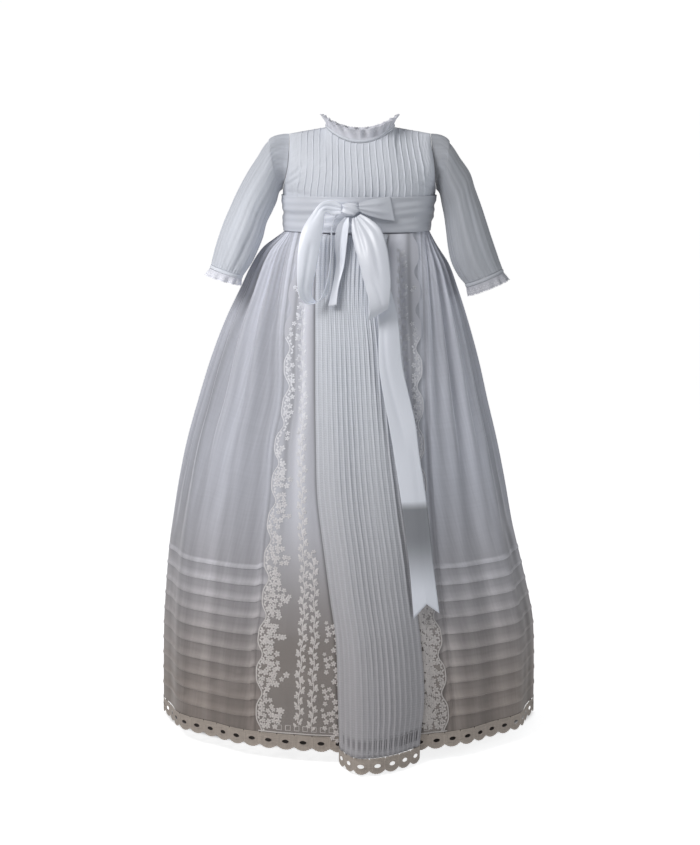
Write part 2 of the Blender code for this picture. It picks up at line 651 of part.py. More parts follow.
def make_sleeves():
    """Two gathered organza sleeves, each with its cuff band and frill."""
    for side, table, sign in (("left", SLEEVE_LEFT, -1), ("right", SLEEVE_RIGHT, 1)):
        sleeve = Cloth(sleeve_place(table, sign, SLEEVE_FOLDS, SLEEVE_FOLD_DEPTH), 1.0, 0.04, -sign)
        angles = spread(0.0, 360.0, SLEEVE_FOLDS * COLUMNS_PER_FOLD)[:-1]
        outer = across_lines(sleeve, SLEEVE_STATIONS, angles, 0.0)
        inner = across_lines(sleeve, SLEEVE_STATIONS, angles, -ORGANZA_WALL)
        for line in (outer[0], inner[0]):
            for number, point in enumerate(line):
                seam = armhole(sign, math.radians(angles[number])).x + sign * ARMHOLE_LEAST
                line[number] = Vector((max(sign * point.x, sign * seam) * sign, point.y, point.z))
        make_wall(f"sleeve_{side}", ORGANZA, outer, inner, closed=True)
        band = Cloth(sleeve_place(table, sign, 0, 0.0), 1.0, 0.04, -sign)
        angles = spread(0.0, 360.0, CUFF_SIDES)[:-1]
        outer = across_lines(band, CUFF_STATIONS, angles, CUFF_RISE)
        inner = across_lines(band, CUFF_STATIONS, angles, CUFF_RISE - COTTON_WALL)
        make_wall(f"cuff_band_{side}", COTTON, outer, inner, closed=True)
        wavy = sleeve_place(table, sign, FRILL_WAVES_CUFF, FRILL_SWING_CUFF, FRILL_START)
        frill = Cloth(wavy, 1.0, 0.04, -sign)
        angles = spread(0.0, 360.0, FRILL_WAVES_CUFF * COLUMNS_PER_FOLD)[:-1]
        outer = across_lines(frill, FRILL_STATIONS, angles, 0.0)
        inner = across_lines(frill, FRILL_STATIONS, angles, -LACE_WALL)
        make_wall(f"cuff_ruffle_{side}", LACE, outer, inner, closed=True)


def broad_swell(angle, drop):
    """Depth of the broad soft folds. It is nothing at the side seams and in front."""
    depth = read(SKIRT, drop, S_BROAD)
    if abs(angle) >= 90:
        phase = BROAD_BACK_WAVES * (abs(angle) - 90) / 180
    else:
        phase = min(BROAD_SIDE_WAVES * (90 - abs(angle)) / BROAD_SIDE_SPAN, BROAD_SIDE_WAVES)
    return -depth * (1 - math.cos(2 * math.pi * phase)) / 2


def shell_point(angle, drop, swell=0.0):
    """The skirt's shape: angle is in degrees from the front, positive to the right."""
    turn = math.radians(angle)
    side = read(SKIRT, drop, S_RIGHT if math.sin(turn) > 0 else S_LEFT)
    depth = read(SKIRT, drop, S_DEPTH)
    return Vector(((side + swell) * math.sin(turn), -(depth + swell) * math.cos(turn), -drop))


def shell_angle(x, drop):
    """The angle at which the front of the skirt reaches x."""
    side = read(SKIRT, drop, S_RIGHT if x > 0 else S_LEFT)
    return math.degrees(math.asin(min(max(x / side, -1.0), 1.0)))


def front_place(x, drop):
    """The front of the skirt without its gathers, by x."""
    return shell_point(shell_angle(x, drop), drop)


FRONT_SHELL = Cloth(front_place, 0.001, 0.001)


def gather_depth(fold, drop):
    """Depth of one gather, a little different from fold to fold."""
    uneven = GATHER_MEAN + GATHER_CHANGE * math.sin(GATHER_TURN * fold + GATHER_START)
    return read(SKIRT, drop, S_GATHER) * uneven


def side_place(sign, column):
    """Organza side: across is 0 at the side seam, 1 just before the lace and 2 under it."""

    def place(across, drop):
        edge = read(LACE_EDGE, drop, column)
        start = shell_angle(edge + sign * LACE_CLEAR, drop)
        end = shell_angle(edge - sign * LACE_UNDERLAP, drop)
        if across > 1:
            return shell_point(mix(start, end, across - 1), drop)
        angle = mix(sign * 90.0, start, across)
        phase = SIDE_FOLDS * across
        gather = -gather_depth(sign * int(phase), drop) * (1 - math.cos(2 * math.pi * phase)) / 2
        return shell_point(angle, drop, gather + broad_swell(angle, drop))

    return place


def back_place(across, drop):
    """Organza back: across is 0 at the right side seam and 1 at the left one."""
    angle = mix(90.0, 270.0, across)
    wrapped = angle if angle <= 180 else angle - 360
    phase = BACK_FOLDS * across
    gather = -gather_depth(int(phase), drop) * (1 - math.cos(2 * math.pi * phase)) / 2
    return shell_point(angle, drop, gather + broad_swell(wrapped, drop))


def tuck_rows():
    """Drops and rises down the tucked part: stitch line, free edge and underside of each tuck."""
    rows = [(TUCKED_TOP, 0.0)]
    for number in range(TUCKS):
        edge = FIRST_TUCK + number * TUCK_STEP
        rows += [(edge - TUCK_WIDTH, 0.0), (edge, TUCK_RISE), (edge + TUCK_EDGE, 0.0)]
    rows.append((SKIRT_END, 0.0))
    return rows


def make_overskirt_piece(name, cloth, gathered, tucked, flat_from):
    """One organza panel: gathers above, ten tucks below, on a wall that is plain inside."""
    drops = (SKIRT_TOP,) + GATHERED_DROPS
    outer = across_lines(cloth, drops, gathered, 0.0)
    for drop, rise in tuck_rows():
        outer.append([cloth.at(place, drop, 0.0 if place > flat_from else rise) for place in tucked])
    inner = across_lines(cloth, drops, gathered, -ORGANZA_WALL)
    inner += across_lines(cloth, spread(TUCKED_TOP, SKIRT_END, 3), tucked, -ORGANZA_WALL)
    make_wall(name, ORGANZA, outer, inner)


def make_overskirt():
    """Left and right sides in front and one back."""
    under = list(UNDER_LACE_PLACES)
    gathered = spread(0.0, 1.0, SIDE_FOLDS * COLUMNS_PER_FOLD) + under
    tucked = spread(0.0, 1.0, SIDE_TUCK_COLUMNS) + under
    for name, sign, column in (("skirt_side_left", -1, 1), ("skirt_side_right", 1, 2)):
        cloth = Cloth(side_place(sign, column), 0.01, 0.001, -sign, keep_front)
        make_overskirt_piece(name, cloth, gathered, tucked, 1.0)
    back = Cloth(back_place, 0.004, 0.001, 1.0, keep_back)
    gathered = spread(0.0, 1.0, BACK_FOLDS * COLUMNS_PER_FOLD)
    tucked = spread(0.0, 1.0, BACK_TUCK_COLUMNS)
    make_overskirt_piece("skirt_back", back, gathered, tucked, 1.0)


def lace_inner_edge(sign, drop):
    """Where a lace panel ends behind the centre panel."""
    return read(PANEL, drop, 2 if sign > 0 else 1) - sign * LACE_TUCK_UNDER


def lace_place(sign, column):
    """Lace panel: across is 0 at the scalloped edge and 1 behind the centre panel."""

    def place(across, drop):
        x = mix(read(LACE_EDGE, drop, column), lace_inner_edge(sign, drop), across)
        below = drop - LACE_TOP
        fade = mix(1.0, LACE_FOLD_LEAST, ease(below / LACE_FOLD_FADE)) * ease(below / LACE_FOLD_START)
        part = (across - LACE_FOLD_SPAN[0]) / (LACE_FOLD_SPAN[1] - LACE_FOLD_SPAN[0])
        fold = math.sin(2 * math.pi * min(max(part, 0.0), 1.0))
        return shell_point(shell_angle(x, drop), drop, -LACE_FOLD * fade * (fold if fold > 0 else fold / 2))

    def between_rows(across, drop):
        row = next((n for n in range(len(LACE_DROPS) - 2) if drop <= LACE_DROPS[n + 1]), len(LACE_DROPS) - 2)
        above, below = LACE_DROPS[row], LACE_DROPS[row + 1]
        return mix(place(across, above), place(across, below), (drop - above) / (below - above))

    return between_rows


def make_lace_panels():
    """Two embroidered panels with scalloped outer edges."""
    start, end = LACE_TOP, SKIRT_END
    steps = SCALLOPS * len(SCALLOP_SHAPE)
    for side, sign, column in (("left", -1, 1), ("right", 1, 2)):
        cloth = Cloth(lace_place(sign, column), 0.01, 0.001, -sign)

        def scallop(step, rise):
            drop = mix(start, end, step / steps)
            notch = SCALLOP_DEPTH * SCALLOP_SHAPE[step % len(SCALLOP_SHAPE)]
            return cloth.at(inward(notch, drop), drop, rise)

        def inward(distance, drop):
            return distance / abs(lace_inner_edge(sign, drop) - read(LACE_EDGE, drop, column))

        skins = []
        for rise in (LACE_LIFT + LACE_WALL, LACE_LIFT):
            lines = [[scallop(step, rise) for step in range(steps + 1)]]
            lines.append([cloth.at(inward(LACE_FIRST_COLUMN, drop), drop, rise) for drop in LACE_DROPS])
            lines += [[cloth.at(place, drop, rise) for drop in LACE_DROPS] for place in LACE_COLUMNS]
            skins.append(lines)
        make_wall(f"lace_panel_{side}", LACE, *skins)


def panel_place(share, drop):
    """Centre panel: across is -1 at its left edge and 1 at its right edge."""
    left = read(PANEL, drop, 1)
    right = read(PANEL, drop, 2)
    bulge = read(PANEL, drop, 3)
    held = min(max(share, -1.0), 1.0)
    x = mix(left, right, (held + 1) / 2)
    if held < PANEL_NOSE:
        arch = math.sin(math.pi / 2 * (held + 1) / (PANEL_NOSE + 1)) ** PANEL_ARCH
    else:
        arch = math.cos(math.pi / 2 * (held - PANEL_NOSE) / (1 - PANEL_NOSE)) ** PANEL_ARCH
    lift = LACE_LIFT + LACE_WALL + 2 * GAP + COTTON_WALL
    return FRONT_SHELL.at(x, drop, lift) - Vector((0.0, bulge * arch, 0.0))


PANEL_CLOTH = Cloth(panel_place, 0.01, 0.001)


def make_centre_panel():
    """Panel with upright tucks, gathered at the waist and bulging forward at the hem."""
    columns = [(-1.0, 0.0)]
    step = 2.0 / PANEL_TUCKS
    for number in range(PANEL_TUCKS):
        middle = -1.0 + (number + 0.5) * step
        columns.append((middle - PANEL_TUCK_SHARE, 0.0))
        columns.append((middle, PANEL_TUCK_RISE))
        columns.append((middle + PANEL_TUCK_SHARE, 0.0))
    columns.append((1.0, 0.0))
    drops = (PANEL_TOP,) + LACE_DROPS[1:-1] + (PANEL_END,)
    outer = [[PANEL_CLOTH.at(share, drop, rise) for share, rise in columns] for drop in drops]
    inner = across_lines(PANEL_CLOTH, drops, spread(-1.0, 1.0, PANEL_TUCKS), -COTTON_WALL)
    make_wall("skirt_centre_panel", COTTON, outer, inner)


def even_places(place, start, end, drop):
    """Places across a surface that are equal lengths apart, about one hem scallop each."""
    points = [place(where, drop) for where in spread(start, end, LENGTH_STEPS)]
    reached = [0.0]
    for a, b in zip(points, points[1:]):
        reached.append(reached[-1] + (b - a).length)
    count = round(reached[-1] / HEM_PERIOD)

    def at_share(share):
        goal = share * reached[-1]
        step = next((n for n in range(LENGTH_STEPS) if reached[n + 1] >= goal), LENGTH_STEPS - 1)
        part = (goal - reached[step]) / (reached[step + 1] - reached[step])
        return mix(start, end, (step + part) / LENGTH_STEPS)

    return count, at_share


def make_hem_lace(name, cloth, start, end, top):
    """A strip of scalloped edging, cut through by one oval hole in each scallop."""
    count, at_share = even_places(cloth.place, start, end, top)
    body = Body()
    bottom = [(t, mix(HEM_VALLEY, HEM_DEPTH, share)) for t, share in HEM_LOW_POINTS]
    rims = []
    skins = []
    for rise in (0.0, -LACE_WALL):
        posts = []
        for cell in range(count + 1):
            place = at_share(cell / count)
            posts.append(body.line([cloth.at(place, top, rise), cloth.at(place, top + HEM_VALLEY, rise)]))
        cells = []
        for cell in range(count):
            low = body.line([cloth.at(at_share((cell + t) / count), top + d, rise) for t, d in bottom])
            hole = []
            for corner in range(HEM_HOLE_SIDES):
                turn = 2 * math.pi * (corner + 0.5) / HEM_HOLE_SIDES
                t = 0.5 + HEM_HOLE[0] * math.cos(turn) / HEM_PERIOD
                d = HEM_HOLE_DROP - HEM_HOLE[1] * math.sin(turn)
                hole.append(cloth.at(at_share((cell + t) / count), top + d, rise))
            rim = body.line(hole)
            left, right = posts[cell], posts[cell + 1]
            body.faces += [
                (left[0], right[0], rim[1]),
                (right[0], rim[0], rim[1]),
                (right[0], right[1], rim[0]),
                (right[1], rim[5], rim[0]),
                (right[1], low[1], rim[5]),
                (low[1], rim[4], rim[5]),
                (low[1], low[0], rim[4]),
                (low[0], rim[3], rim[4]),
                (low[0], left[1], rim[3]),
                (left[1], rim[2], rim[3]),
                (left[1], left[0], rim[2]),
                (left[0], rim[1], rim[2]),
            ]
            cells.append([left[1]] + low + [right[1]])
            rims.append(rim)
        skins.append((posts, cells))
    (front_posts, front_cells), (back_posts, back_cells) = skins
    body.stitch([post[0] for post in front_posts], [post[0] for post in back_posts])
    body.stitch(front_posts[0], back_posts[0])
    body.stitch(front_posts[-1], back_posts[-1])
    for front, back in zip(front_cells, back_cells):
        body.stitch(front, back)
    for front, back in zip(rims[:count], rims[count:]):
        body.stitch(front, back, closed=True)
    body.make(name, HEM_LACE)


def hem_place(angle, drop):
    """Hem of the overskirt by angle, with its broad folds."""
    wrapped = angle if angle <= 180 else angle - 360
    return shell_point(angle, drop, broad_swell(wrapped, drop))


def make_hem():
    """Edging round the hem in four lengths, and one on the centre panel."""
    top = SKIRT_END + GAP
    left_end = shell_angle(lace_inner_edge(-1, SKIRT_END), SKIRT_END)
    right_end = shell_angle(lace_inner_edge(1, SKIRT_END), SKIRT_END)
    for name, start, end, hold in (
        ("hem_lace_left", -90.0, left_end, keep_front),
        ("hem_lace_right", right_end, 90.0, keep_front),
        ("hem_lace_back_right", 90.0, 180.0, keep_back_right),
        ("hem_lace_back_left", 180.0, 270.0, keep_back_left),
    ):
        make_hem_lace(name, Cloth(hem_place, 0.3, 0.001, 1.0, hold), start, end, top)
    make_hem_lace("hem_lace_centre", PANEL_CLOTH, -1.0, 1.0, PANEL_END + GAP)


def lining_place(angle, drop):
    """Underskirt: the skirt's shape, set in from it."""
    return shell_point(angle, drop, -read(SKIRT, drop, S_INSET))


def make_underskirt():
    """Plain shorter underskirt, front and back."""
    for name, start, hold in (("underskirt_front", -90.0, keep_front), ("underskirt_back", 90.0, keep_back)):
        cloth = Cloth(lining_place, 0.3, 0.001, 1.0, hold)
        angles = spread(start, start + 180.0, 14)
        outer = across_lines(cloth, LINING_DROPS, angles, 0.0)
        inner = across_lines(cloth, LINING_DROPS, angles, -ORGANZA_WALL)
        make_wall(name, LINING, outer, inner)


def band_place(angle, drop):
    """The bodice's shape at the waist, by angle."""
    turn = math.radians(angle)
    share = math.sin(turn)
    return Vector((share * bodice_side(share, drop), -read(BODICE, drop, B_DEPTH) * math.cos(turn), -drop))


def make_waist_band():
    """Wide satin ribbon round the waist, softly wrinkled."""
    cloth = Cloth(band_place, 0.3, 0.001)
    angles = spread(0.0, 360.0, BAND_SIDES)[:-1]
    outer = []
    for row, drop in enumerate(BAND_DROPS):
        inside = 0 < row < len(BAND_DROPS) - 1
        wave = [math.sin(math.radians(3 * angle) + 2.2 * row) if inside else 0.0 for angle in angles]
        outer.append([cloth.at(a, drop, BAND_LIFT + BAND_WRINKLE * (1 + w)) for a, w in zip(angles, wave)])
    inner = across_lines(cloth, (BAND_TOP, 0.124, BAND_END), angles, BAND_LIFT - LACE_WALL)
    make_wall("waist_band", SATIN, outer, inner, closed=True)


def ribbon_place(table):
    """A ribbon through its rows: across is 0 to 1, down is the station."""

    def place(across, station):
        first = Vector((read(table, station, 1), read(table, station, 2), -read(table, station, 3)))
        second = Vector((read(table, station, 4), read(table, station, 5), -read(table, station, 6)))
        cup = read(table, station, 7) * 4 * across * (1 - across)
        return mix(first, second, across) + Vector((0.0, -cup, 0.0))

    return place


def make_ribbon(name, table, per_row, facing=1.0, notch=0.0):
    """A ribbon of even thickness. A notch cuts its end as a swallow tail."""
    cloth = Cloth(ribbon_place(table), 0.05, 0.05, facing)
    last = len(table) - 1
    stations = spread(0.0, last, last * per_row)
    places = (0.0, 0.5, 1.0)
    skins = []
    for rise in (RIBBON_WALL / 2, -RIBBON_WALL / 2):
        lines = across_lines(cloth, stations, places, rise)
        for number, place in enumerate(places):
            lines[-1][number].z += notch * (1 - abs(2 * place - 1))
        skins.append(lines)
    make_wall(name, SATIN, *skins)


def make_knot():
    """The bow's knot, a soft rounded block."""
    body = Body()
    rings = []
    turns = spread(0.0, 2 * math.pi, KNOT_SIDES)[:-1]

    def squared(value):
        return math.copysign(abs(value) ** KNOT_SQUARE, value)

    for level in spread(-KNOT_TIP, KNOT_TIP, KNOT_RINGS):
        points = []
        for turn in turns:
            offset = (
                KNOT_HALF[0] * squared(math.cos(turn)) * squared(math.cos(level)),
                KNOT_HALF[1] * squared(math.sin(turn)) * squared(math.cos(level)),
                KNOT_HALF[2] * squared(math.sin(level)),
            )
            points.append(Vector(KNOT_CENTRE) + Vector(offset))
        rings.append(body.line(points))
    for a, b in zip(rings, rings[1:]):
        body.stitch(a, b, closed=True)
    body.faces.append(tuple(rings[0]))
    body.faces.append(tuple(rings[-1]))
    body.make("bow_knot", SATIN)


def make_bow():
    """Knot, two loops, the ribbon that runs into the band, a short tail and a long one."""
    make_knot()
    make_ribbon("bow_loop_left", LOOP_LEFT, 1)
    make_ribbon("bow_loop_right", LOOP_RIGHT, 1)
    make_ribbon("bow_tail_short", TAIL_SHORT, 2)
    make_ribbon("bow_tail_long", TAIL_LONG, 2, 1.0, TAIL_NOTCH)
    make_ribbon("bow_wing_right", WING_RIGHT, 2)


def build_gown():
    """Make every piece of the gown."""
    clear_scene()
    make_bodice()
    make_placket()
    make_neck()
    make_sleeves()
    make_overskirt()
    make_lace_panels()
    make_centre_panel()
    make_hem()
    make_underskirt()
    make_waist_band()
    make_bow()


build_gown()
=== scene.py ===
"""Finished look of a baby's lace gown: its cloth, tucks, lace and ribbon, with light and camera.

Metres in the frame's own axes: +Z up, front towards -Y, the viewer's right towards +X. Places down the
gown are given as drops, which are metres below the neck's centre. Some tables are written in millimetres
and turned into metres where they stand. Each operator makes one piece, or one group of like pieces, and
stands it in for the solids that it covers.
"""

import math

import bpy
import numpy as np
from bpy.props import FloatProperty, FloatVectorProperty, PointerProperty
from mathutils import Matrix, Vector


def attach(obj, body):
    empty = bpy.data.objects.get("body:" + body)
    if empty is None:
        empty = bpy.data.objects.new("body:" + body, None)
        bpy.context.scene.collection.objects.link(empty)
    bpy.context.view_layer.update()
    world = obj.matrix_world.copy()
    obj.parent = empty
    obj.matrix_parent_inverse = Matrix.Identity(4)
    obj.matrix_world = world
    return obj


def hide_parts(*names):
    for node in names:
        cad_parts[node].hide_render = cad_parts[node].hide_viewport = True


bl_info = {
    "name": "Lace Gown",
    "version": (1, 0, 0),
    "blender": (4, 5, 0),
    "location": "View3D > Sidebar > Gown",
    "description": "Makes the cloth, lace and ribbon of a baby's gown on its packed frame",
    "category": "Add Mesh",
}

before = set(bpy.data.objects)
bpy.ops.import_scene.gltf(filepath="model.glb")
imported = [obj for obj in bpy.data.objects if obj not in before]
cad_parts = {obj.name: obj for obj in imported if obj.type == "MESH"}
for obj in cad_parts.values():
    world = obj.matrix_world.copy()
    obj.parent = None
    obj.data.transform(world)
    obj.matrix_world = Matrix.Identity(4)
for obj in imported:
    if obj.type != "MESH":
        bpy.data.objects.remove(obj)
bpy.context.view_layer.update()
BODY = "root"
WHOLE_TURN = 2 * math.pi
CLOTH_MAP = "cloth"


def millimetres(*rows):
    """Rows of a table written in millimetres, as metres."""
    return tuple(tuple(value / 1000 for value in row) for row in rows)


def stations(*rows):
    """Rows written in millimetres, as metres, each after its station: 0 for the first, and so on."""
    return tuple((number, *row) for number, row in enumerate(millimetres(*rows)))


# Seams
GAP = 0.0003
LACE_LIFT = 0.0007
LACE_WALL = 0.0012
COTTON_WALL = 0.0015

# Bodice: drop, half width at the left and right, half depth, how far the armhole is cut forward
BODICE_END = 0.147
UNDERARM = 0.09
SHOULDER_SLOPE = 0.009
BODICE = millimetres(
    (0, 102, 102, 60, 0),
    (12, 102.6, 103, 61.5, 6),
    (30, 103.5, 105, 66, 16.5),
    (54, 105.5, 108.5, 70, 20.5),
    (75, 109.5, 110, 72.5, 15.5),
    (90, 113, 111, 73.5, 0),
    (120, 112, 106, 72, 0),
    (147.4, 110.5, 101.5, 71, 0),
)
B_LEFT, B_RIGHT, B_DEPTH, B_ARMHOLE = 1, 2, 3, 4
NECK_SHARE = 0.4925
NECK_FADE = 2.4
ARMHOLE_SPREAD = 6
FRONT_NECK = (0.045, 0.0217)
BACK_NECK = (0.04, 0.02)
PINTUCKS = 20
PINTUCK_REACH = 0.83
PINTUCK_HALF = 0.0119
# One pintuck, folded towards the viewer's right: place across it, how far it stands up
PINTUCK_FOLD = (
    (-1.0, 0.0), (-0.6, 0.35), (-0.25, 0.75), (0.05, 0.98), (0.3, 1.0), (0.48, 0.8), (0.56, 0.25),
    (0.75, 0.0),
)
# Pulls in the cotton: both ends (X, drop), depth, half width
BODICE_PULLS = millimetres(
    (-113, 78, -78, 50, 2.2, 3),
    (-114, 86, -84, 66, 2, 2.6),
    (-113, 70, -90, 48, 1.4, 2.2),
    (-110, 93, -70, 96, 1.2, 3),
    (111, 82, 84, 60, 1.8, 2.8),
    (110, 90, 80, 80, 1.4, 2.6),
)

# Skirt: drop, left and right half widths, half depth, gather depth, broad fold depth, lining inset
SKIRT_TOP = 0.1474
SKIRT_END = 0.857
SKIRT = millimetres(
    (147.4, 110.5, 101.5, 71, 0, 0, 1.8),
    (151.5, 112, 102.5, 72.2, 0, 0, 4.4),
    (162, 126, 108, 78, 5, 0, 10.5),
    (175, 143, 115.5, 82, 8, 0, 15),
    (200, 160, 131.5, 87, 10, 1, 17.5),
    (233, 176, 144, 91.5, 10.5, 2, 19),
    (284, 200.5, 160.5, 100.5, 10.5, 3, 20),
    (343, 223, 177, 112, 10, 4.5, 20),
    (404, 242, 191, 125, 9, 6, 20),
    (464, 259, 205.5, 138, 7, 7.5, 19.5),
    (525, 272, 218, 151, 4.5, 8.5, 19),
    (586, 282, 229, 164, 1.5, 9.5, 18),
    (612, 286, 235, 169.5, 0, 10, 18),
    (648, 290, 244, 177, 0, 10, 18),
    (710, 295, 258, 190, 0, 10.5, 18),
    (741, 297, 263, 196, 0, 11, 18),
    (804, 298.5, 265, 209, 0, 11.5, 18),
    (857, 299, 265, 220, 0, 12, 18),
    (880, 299, 265, 224, 0, 12, 18),
)
S_LEFT, S_RIGHT, S_DEPTH, S_GATHER, S_BROAD, S_INSET = 1, 2, 3, 4, 5, 6
SIDE_FOLDS = 5
BACK_FOLDS = 12
GATHER_MEAN = 0.78
GATHER_CHANGE = 0.22
GATHER_TURN = 2.4
GATHER_START = 0.8
BROAD_SIDE_WAVES = 2
BROAD_BACK_WAVES = 4
BROAD_SIDE_SPAN = 56.0
BROAD_SIDE_SHARE = 0.55
TUCKS = 10
FIRST_TUCK = 0.628
TUCK_STEP = 0.0233
TUCK_WIDTH = 0.0052
# One skirt tuck, folded down over the cloth below: share of its width down, share of its rise
TUCK_FOLD = (
    (-0.04, 0.0), (0.0, 0.3), (0.25, 0.75), (0.6, 1.0), (0.92, 1.0), (1.0, 0.85), (0.94, 0.62),
    (0.5, 0.5), (0.08, 0.32), (0.06, 0.12), (0.3, 0.0), (0.75, 0.0), (1.1, 0.0),
)

# Lace panels: drop, where the scalloped edge lies at the left and at the right
LACE_TOP = 0.1524
LACE_EDGE = millimetres(
    (147.4, -86, 83),
    (175, -93, 84),
    (220, -101, 86),
    (289, -109, 88),
    (389, -112, 91),
    (446, -123, 92),
    (531, -130, 97),
    (587, -137, 101),
    (672, -141.5, 110.5),
    (742, -149, 119.5),
    (800, -150, 125),
    (870, -150, 129),
)
LACE_UNDERLAP = 0.0105
LACE_CLEAR = 0.01
SCALLOPS = 13
SCALLOP_DEPTH = 0.008
LACE_TUCK_UNDER = 0.013
LACE_FOLD = 0.004
LACE_FOLD_LEAST = 0.25
LACE_FOLD_FADE = 0.5
LACE_FOLD_START = 0.04

# Centre panel: drop, left edge, right edge, how far its middle stands forward
PANEL_TOP = 0.1546
PANEL_END = 0.872
PANEL = millimetres(
    (150.6, -60, 40, 3),
    (170, -62, 36, 4),
    (245, -64, 33, 5.5),
    (315, -64, 40, 8),
    (386, -64, 45.5, 11),
    (460, -63, 52, 15),
    (526, -61, 60, 20),
    (609, -50.5, 71, 31),
    (665, -43, 77.5, 37),
    (721, -35, 85, 43),
    (803, -32, 90.5, 49),
    (872, -30, 84, 50),
    (900, -30, 83, 50),
)
PANEL_NOSE = -0.42
PANEL_ARCH = 0.85
PANEL_TUCKS = 16
PANEL_TUCK_SHARE = 0.033

# Hem lace: scalloped edging with one oval hole to each scallop
HEM_PERIOD = 0.0262
HEM_VALLEY = 0.0165
HEM_DEPTH = 0.0215
HEM_HOLE_DROP = 0.0105
HEM_HOLE = (0.0052, 0.0026)

# Sleeves, by station: outer edge X and drop, inner edge X and drop, centre Y, half depth
SLEEVE_LEFT = stations(
    (-106, 9, -113, 90, 0, 20),
    (-134, 21, -118.5, 94.5, -2, 30),
    (-151, 45, -122.5, 109, -5, 34),
    (-166, 68, -129, 124, -10, 34.5),
    (-178, 91, -136.5, 140, -16, 33.5),
    (-189, 115, -141.5, 160, -23, 32.5),
    (-199, 138, -150, 180, -30, 31),
    (-208, 164, -158, 195, -37, 29),
    (-214.5, 186, -166.5, 207, -42, 26),
    (-217, 197, -171, 213.5, -45, 22.5),
    (-219, 202, -172.5, 218, -46.5, 22.5),
    (-226, 213, -174.5, 228, -49, 25.5),
)
SLEEVE_RIGHT = stations(
    (107, 9, 112, 90, 0, 20),
    (131, 23, 117, 96, -2, 30),
    (147, 45, 120.5, 112, -5, 34),
    (161, 66, 124, 128, -9, 34.5),
    (168, 89, 126, 144, -15, 33.5),
    (176, 113, 127.5, 160, -21, 32.5),
    (184, 138, 129.5, 178, -27, 31),
    (192, 162, 134, 196, -33, 29),
    (201.5, 188, 143, 213.5, -38, 26),
    (207.5, 203.5, 153, 225.5, -41, 23.5),
    (209.5, 208.5, 155, 231, -42, 23.5),
    (217.5, 220.5, 158.5, 244, -45, 26),
)
SLEEVES = {"left": SLEEVE_LEFT, "right": SLEEVE_RIGHT}
# The gown's two sides as the viewer sees them, with the sign of their X
SIDES = (("left", -1), ("right", 1))
SLEEVE_FOLDS = 8
SLEEVE_FOLD_DEPTH = 0.0022
SLEEVE_FULLNESS = 0.6
FOLD_BIAS = 0.4
SLEEVE_END = 9.0
ARMHOLE_CLEAR = 0.0008
CAP_PUFF = 0.01
CAP_START = 0.25
FRILL_WAVES_CUFF = 12
FRILL_WAVES_NECK = 22
FRILL_SWING_CUFF = 0.0024
FRILL_SWING_NECK = 0.0034
NECK_BAND_HEIGHT = 0.0045
NECK_FRILL_HEIGHT = 0.015
NECK_FRILL_FLARE = 0.006
NECK_FRILL_CURL = 1.6
NECK_FRILL_DIP = 0.0012
CUFF_FRILL_DIP = 0.09

# Waist band
BAND_TOP = 0.098
BAND_END = 0.15

# Bow, by station: one edge (X, Y, drop), the other edge (X, Y, drop), cup
KNOT_CENTRE = (-0.0148, -0.0857, -0.115)
KNOT_HALF = (0.0122, 0.0088, 0.0096)
LOOP_LEFT = stations(
    (-27.5, -90.5, 108, -27.5, -90.5, 121, 0),
    (-40, -93, 102, -40, -92, 123, 1),
    (-56, -97.5, 105, -48, -97, 119, 2),
    (-69, -103, 120, -51, -101, 122, 3),
    (-83, -113, 142, -53, -106, 143, 5),
    (-88.5, -123, 168, -58, -113, 172, 5),
    (-90, -131, 200, -64, -119, 202, 4),
    (-89, -134, 225, -70, -119, 229, 2),
    (-84, -130, 240, -67, -113, 242, 0),
    (-74, -121, 248, -59, -108, 245, -1),
    (-59, -117, 243, -47, -104, 233, -2),
    (-48, -115, 217, -42, -101, 203, -2),
    (-43, -109, 180, -42, -96, 172, -1),
    (-42, -99, 144, -40, -89, 140, 0),
    (-35, -89, 125, -36, -84.5, 125, 0),
    (-27.5, -87, 119, -27.5, -83, 119, 0),
)
LOOP_RIGHT = stations(
    (-12, -93.5, 128.5, 0.5, -92, 121.5, 0),
    (-12.5, -100, 145, 15, -99.5, 129, 2),
    (-9, -110, 164, 29, -109, 142, 4),
    (-4, -119, 182, 38, -118, 168, 5),
    (5, -130, 216, 43, -129, 210, 4),
    (11, -137, 238, 42, -136, 238, 2),
    (13, -138, 256, 40, -133, 252, 0),
    (12, -130, 270, 37, -124, 256, -1),
    (16, -121, 260, 37, -117, 244, -1),
    (13, -112, 225, 36, -111, 210, 0),
    (5, -102, 182, 25, -101, 165, 0),
    (-5, -94.5, 145, 8, -94.5, 138, 0),
    (-11, -88.5, 126.8, -4, -88.5, 126.8, 0),
)
TAIL_SHORT = stations(
    (-23, -88, 126.8, -16, -88, 126.8, 0),
    (-33, -93, 140, -16.5, -94, 138, -3),
    (-37, -96, 165, -20, -99, 166, -4),
    (-35, -98, 190, -24, -102, 196, -2),
    (-39, -106, 220, -31, -108, 224, 0),
    (-46, -112, 252, -34, -113, 250, 0),
)
TAIL_LONG = stations(
    (-14, -84.2, 126.6, -6, -84.2, 126.6, 0),
    (0, -86, 150, 15, -85, 148, 0),
    (12, -96, 195, 32, -93, 193, 0),
    (25, -113, 265, 53, -109, 265, 2),
    (27, -130, 340, 61, -120, 340, 3),
    (40, -142, 415, 78, -137, 415, 1),
    (48, -148, 460, 84, -145, 460, 2),
    (59, -162, 533, 95.5, -158, 532, 3),
    (70, -179, 620, 105, -174, 620, 2),
    (76, -193, 691, 113, -186, 685, 0),
)
TAIL_NOTCH = 0.017
WING_RIGHT = stations(
    (-2.2, -87.5, 106, -2.2, -87.5, 118, 0),
    (11, -84.5, 102, 11, -85.5, 124, 1),
    (28, -80.5, 99, 28, -81, 129, 1),
    (43, -72.2, 97, 50, -69.4, 133, 0),
)

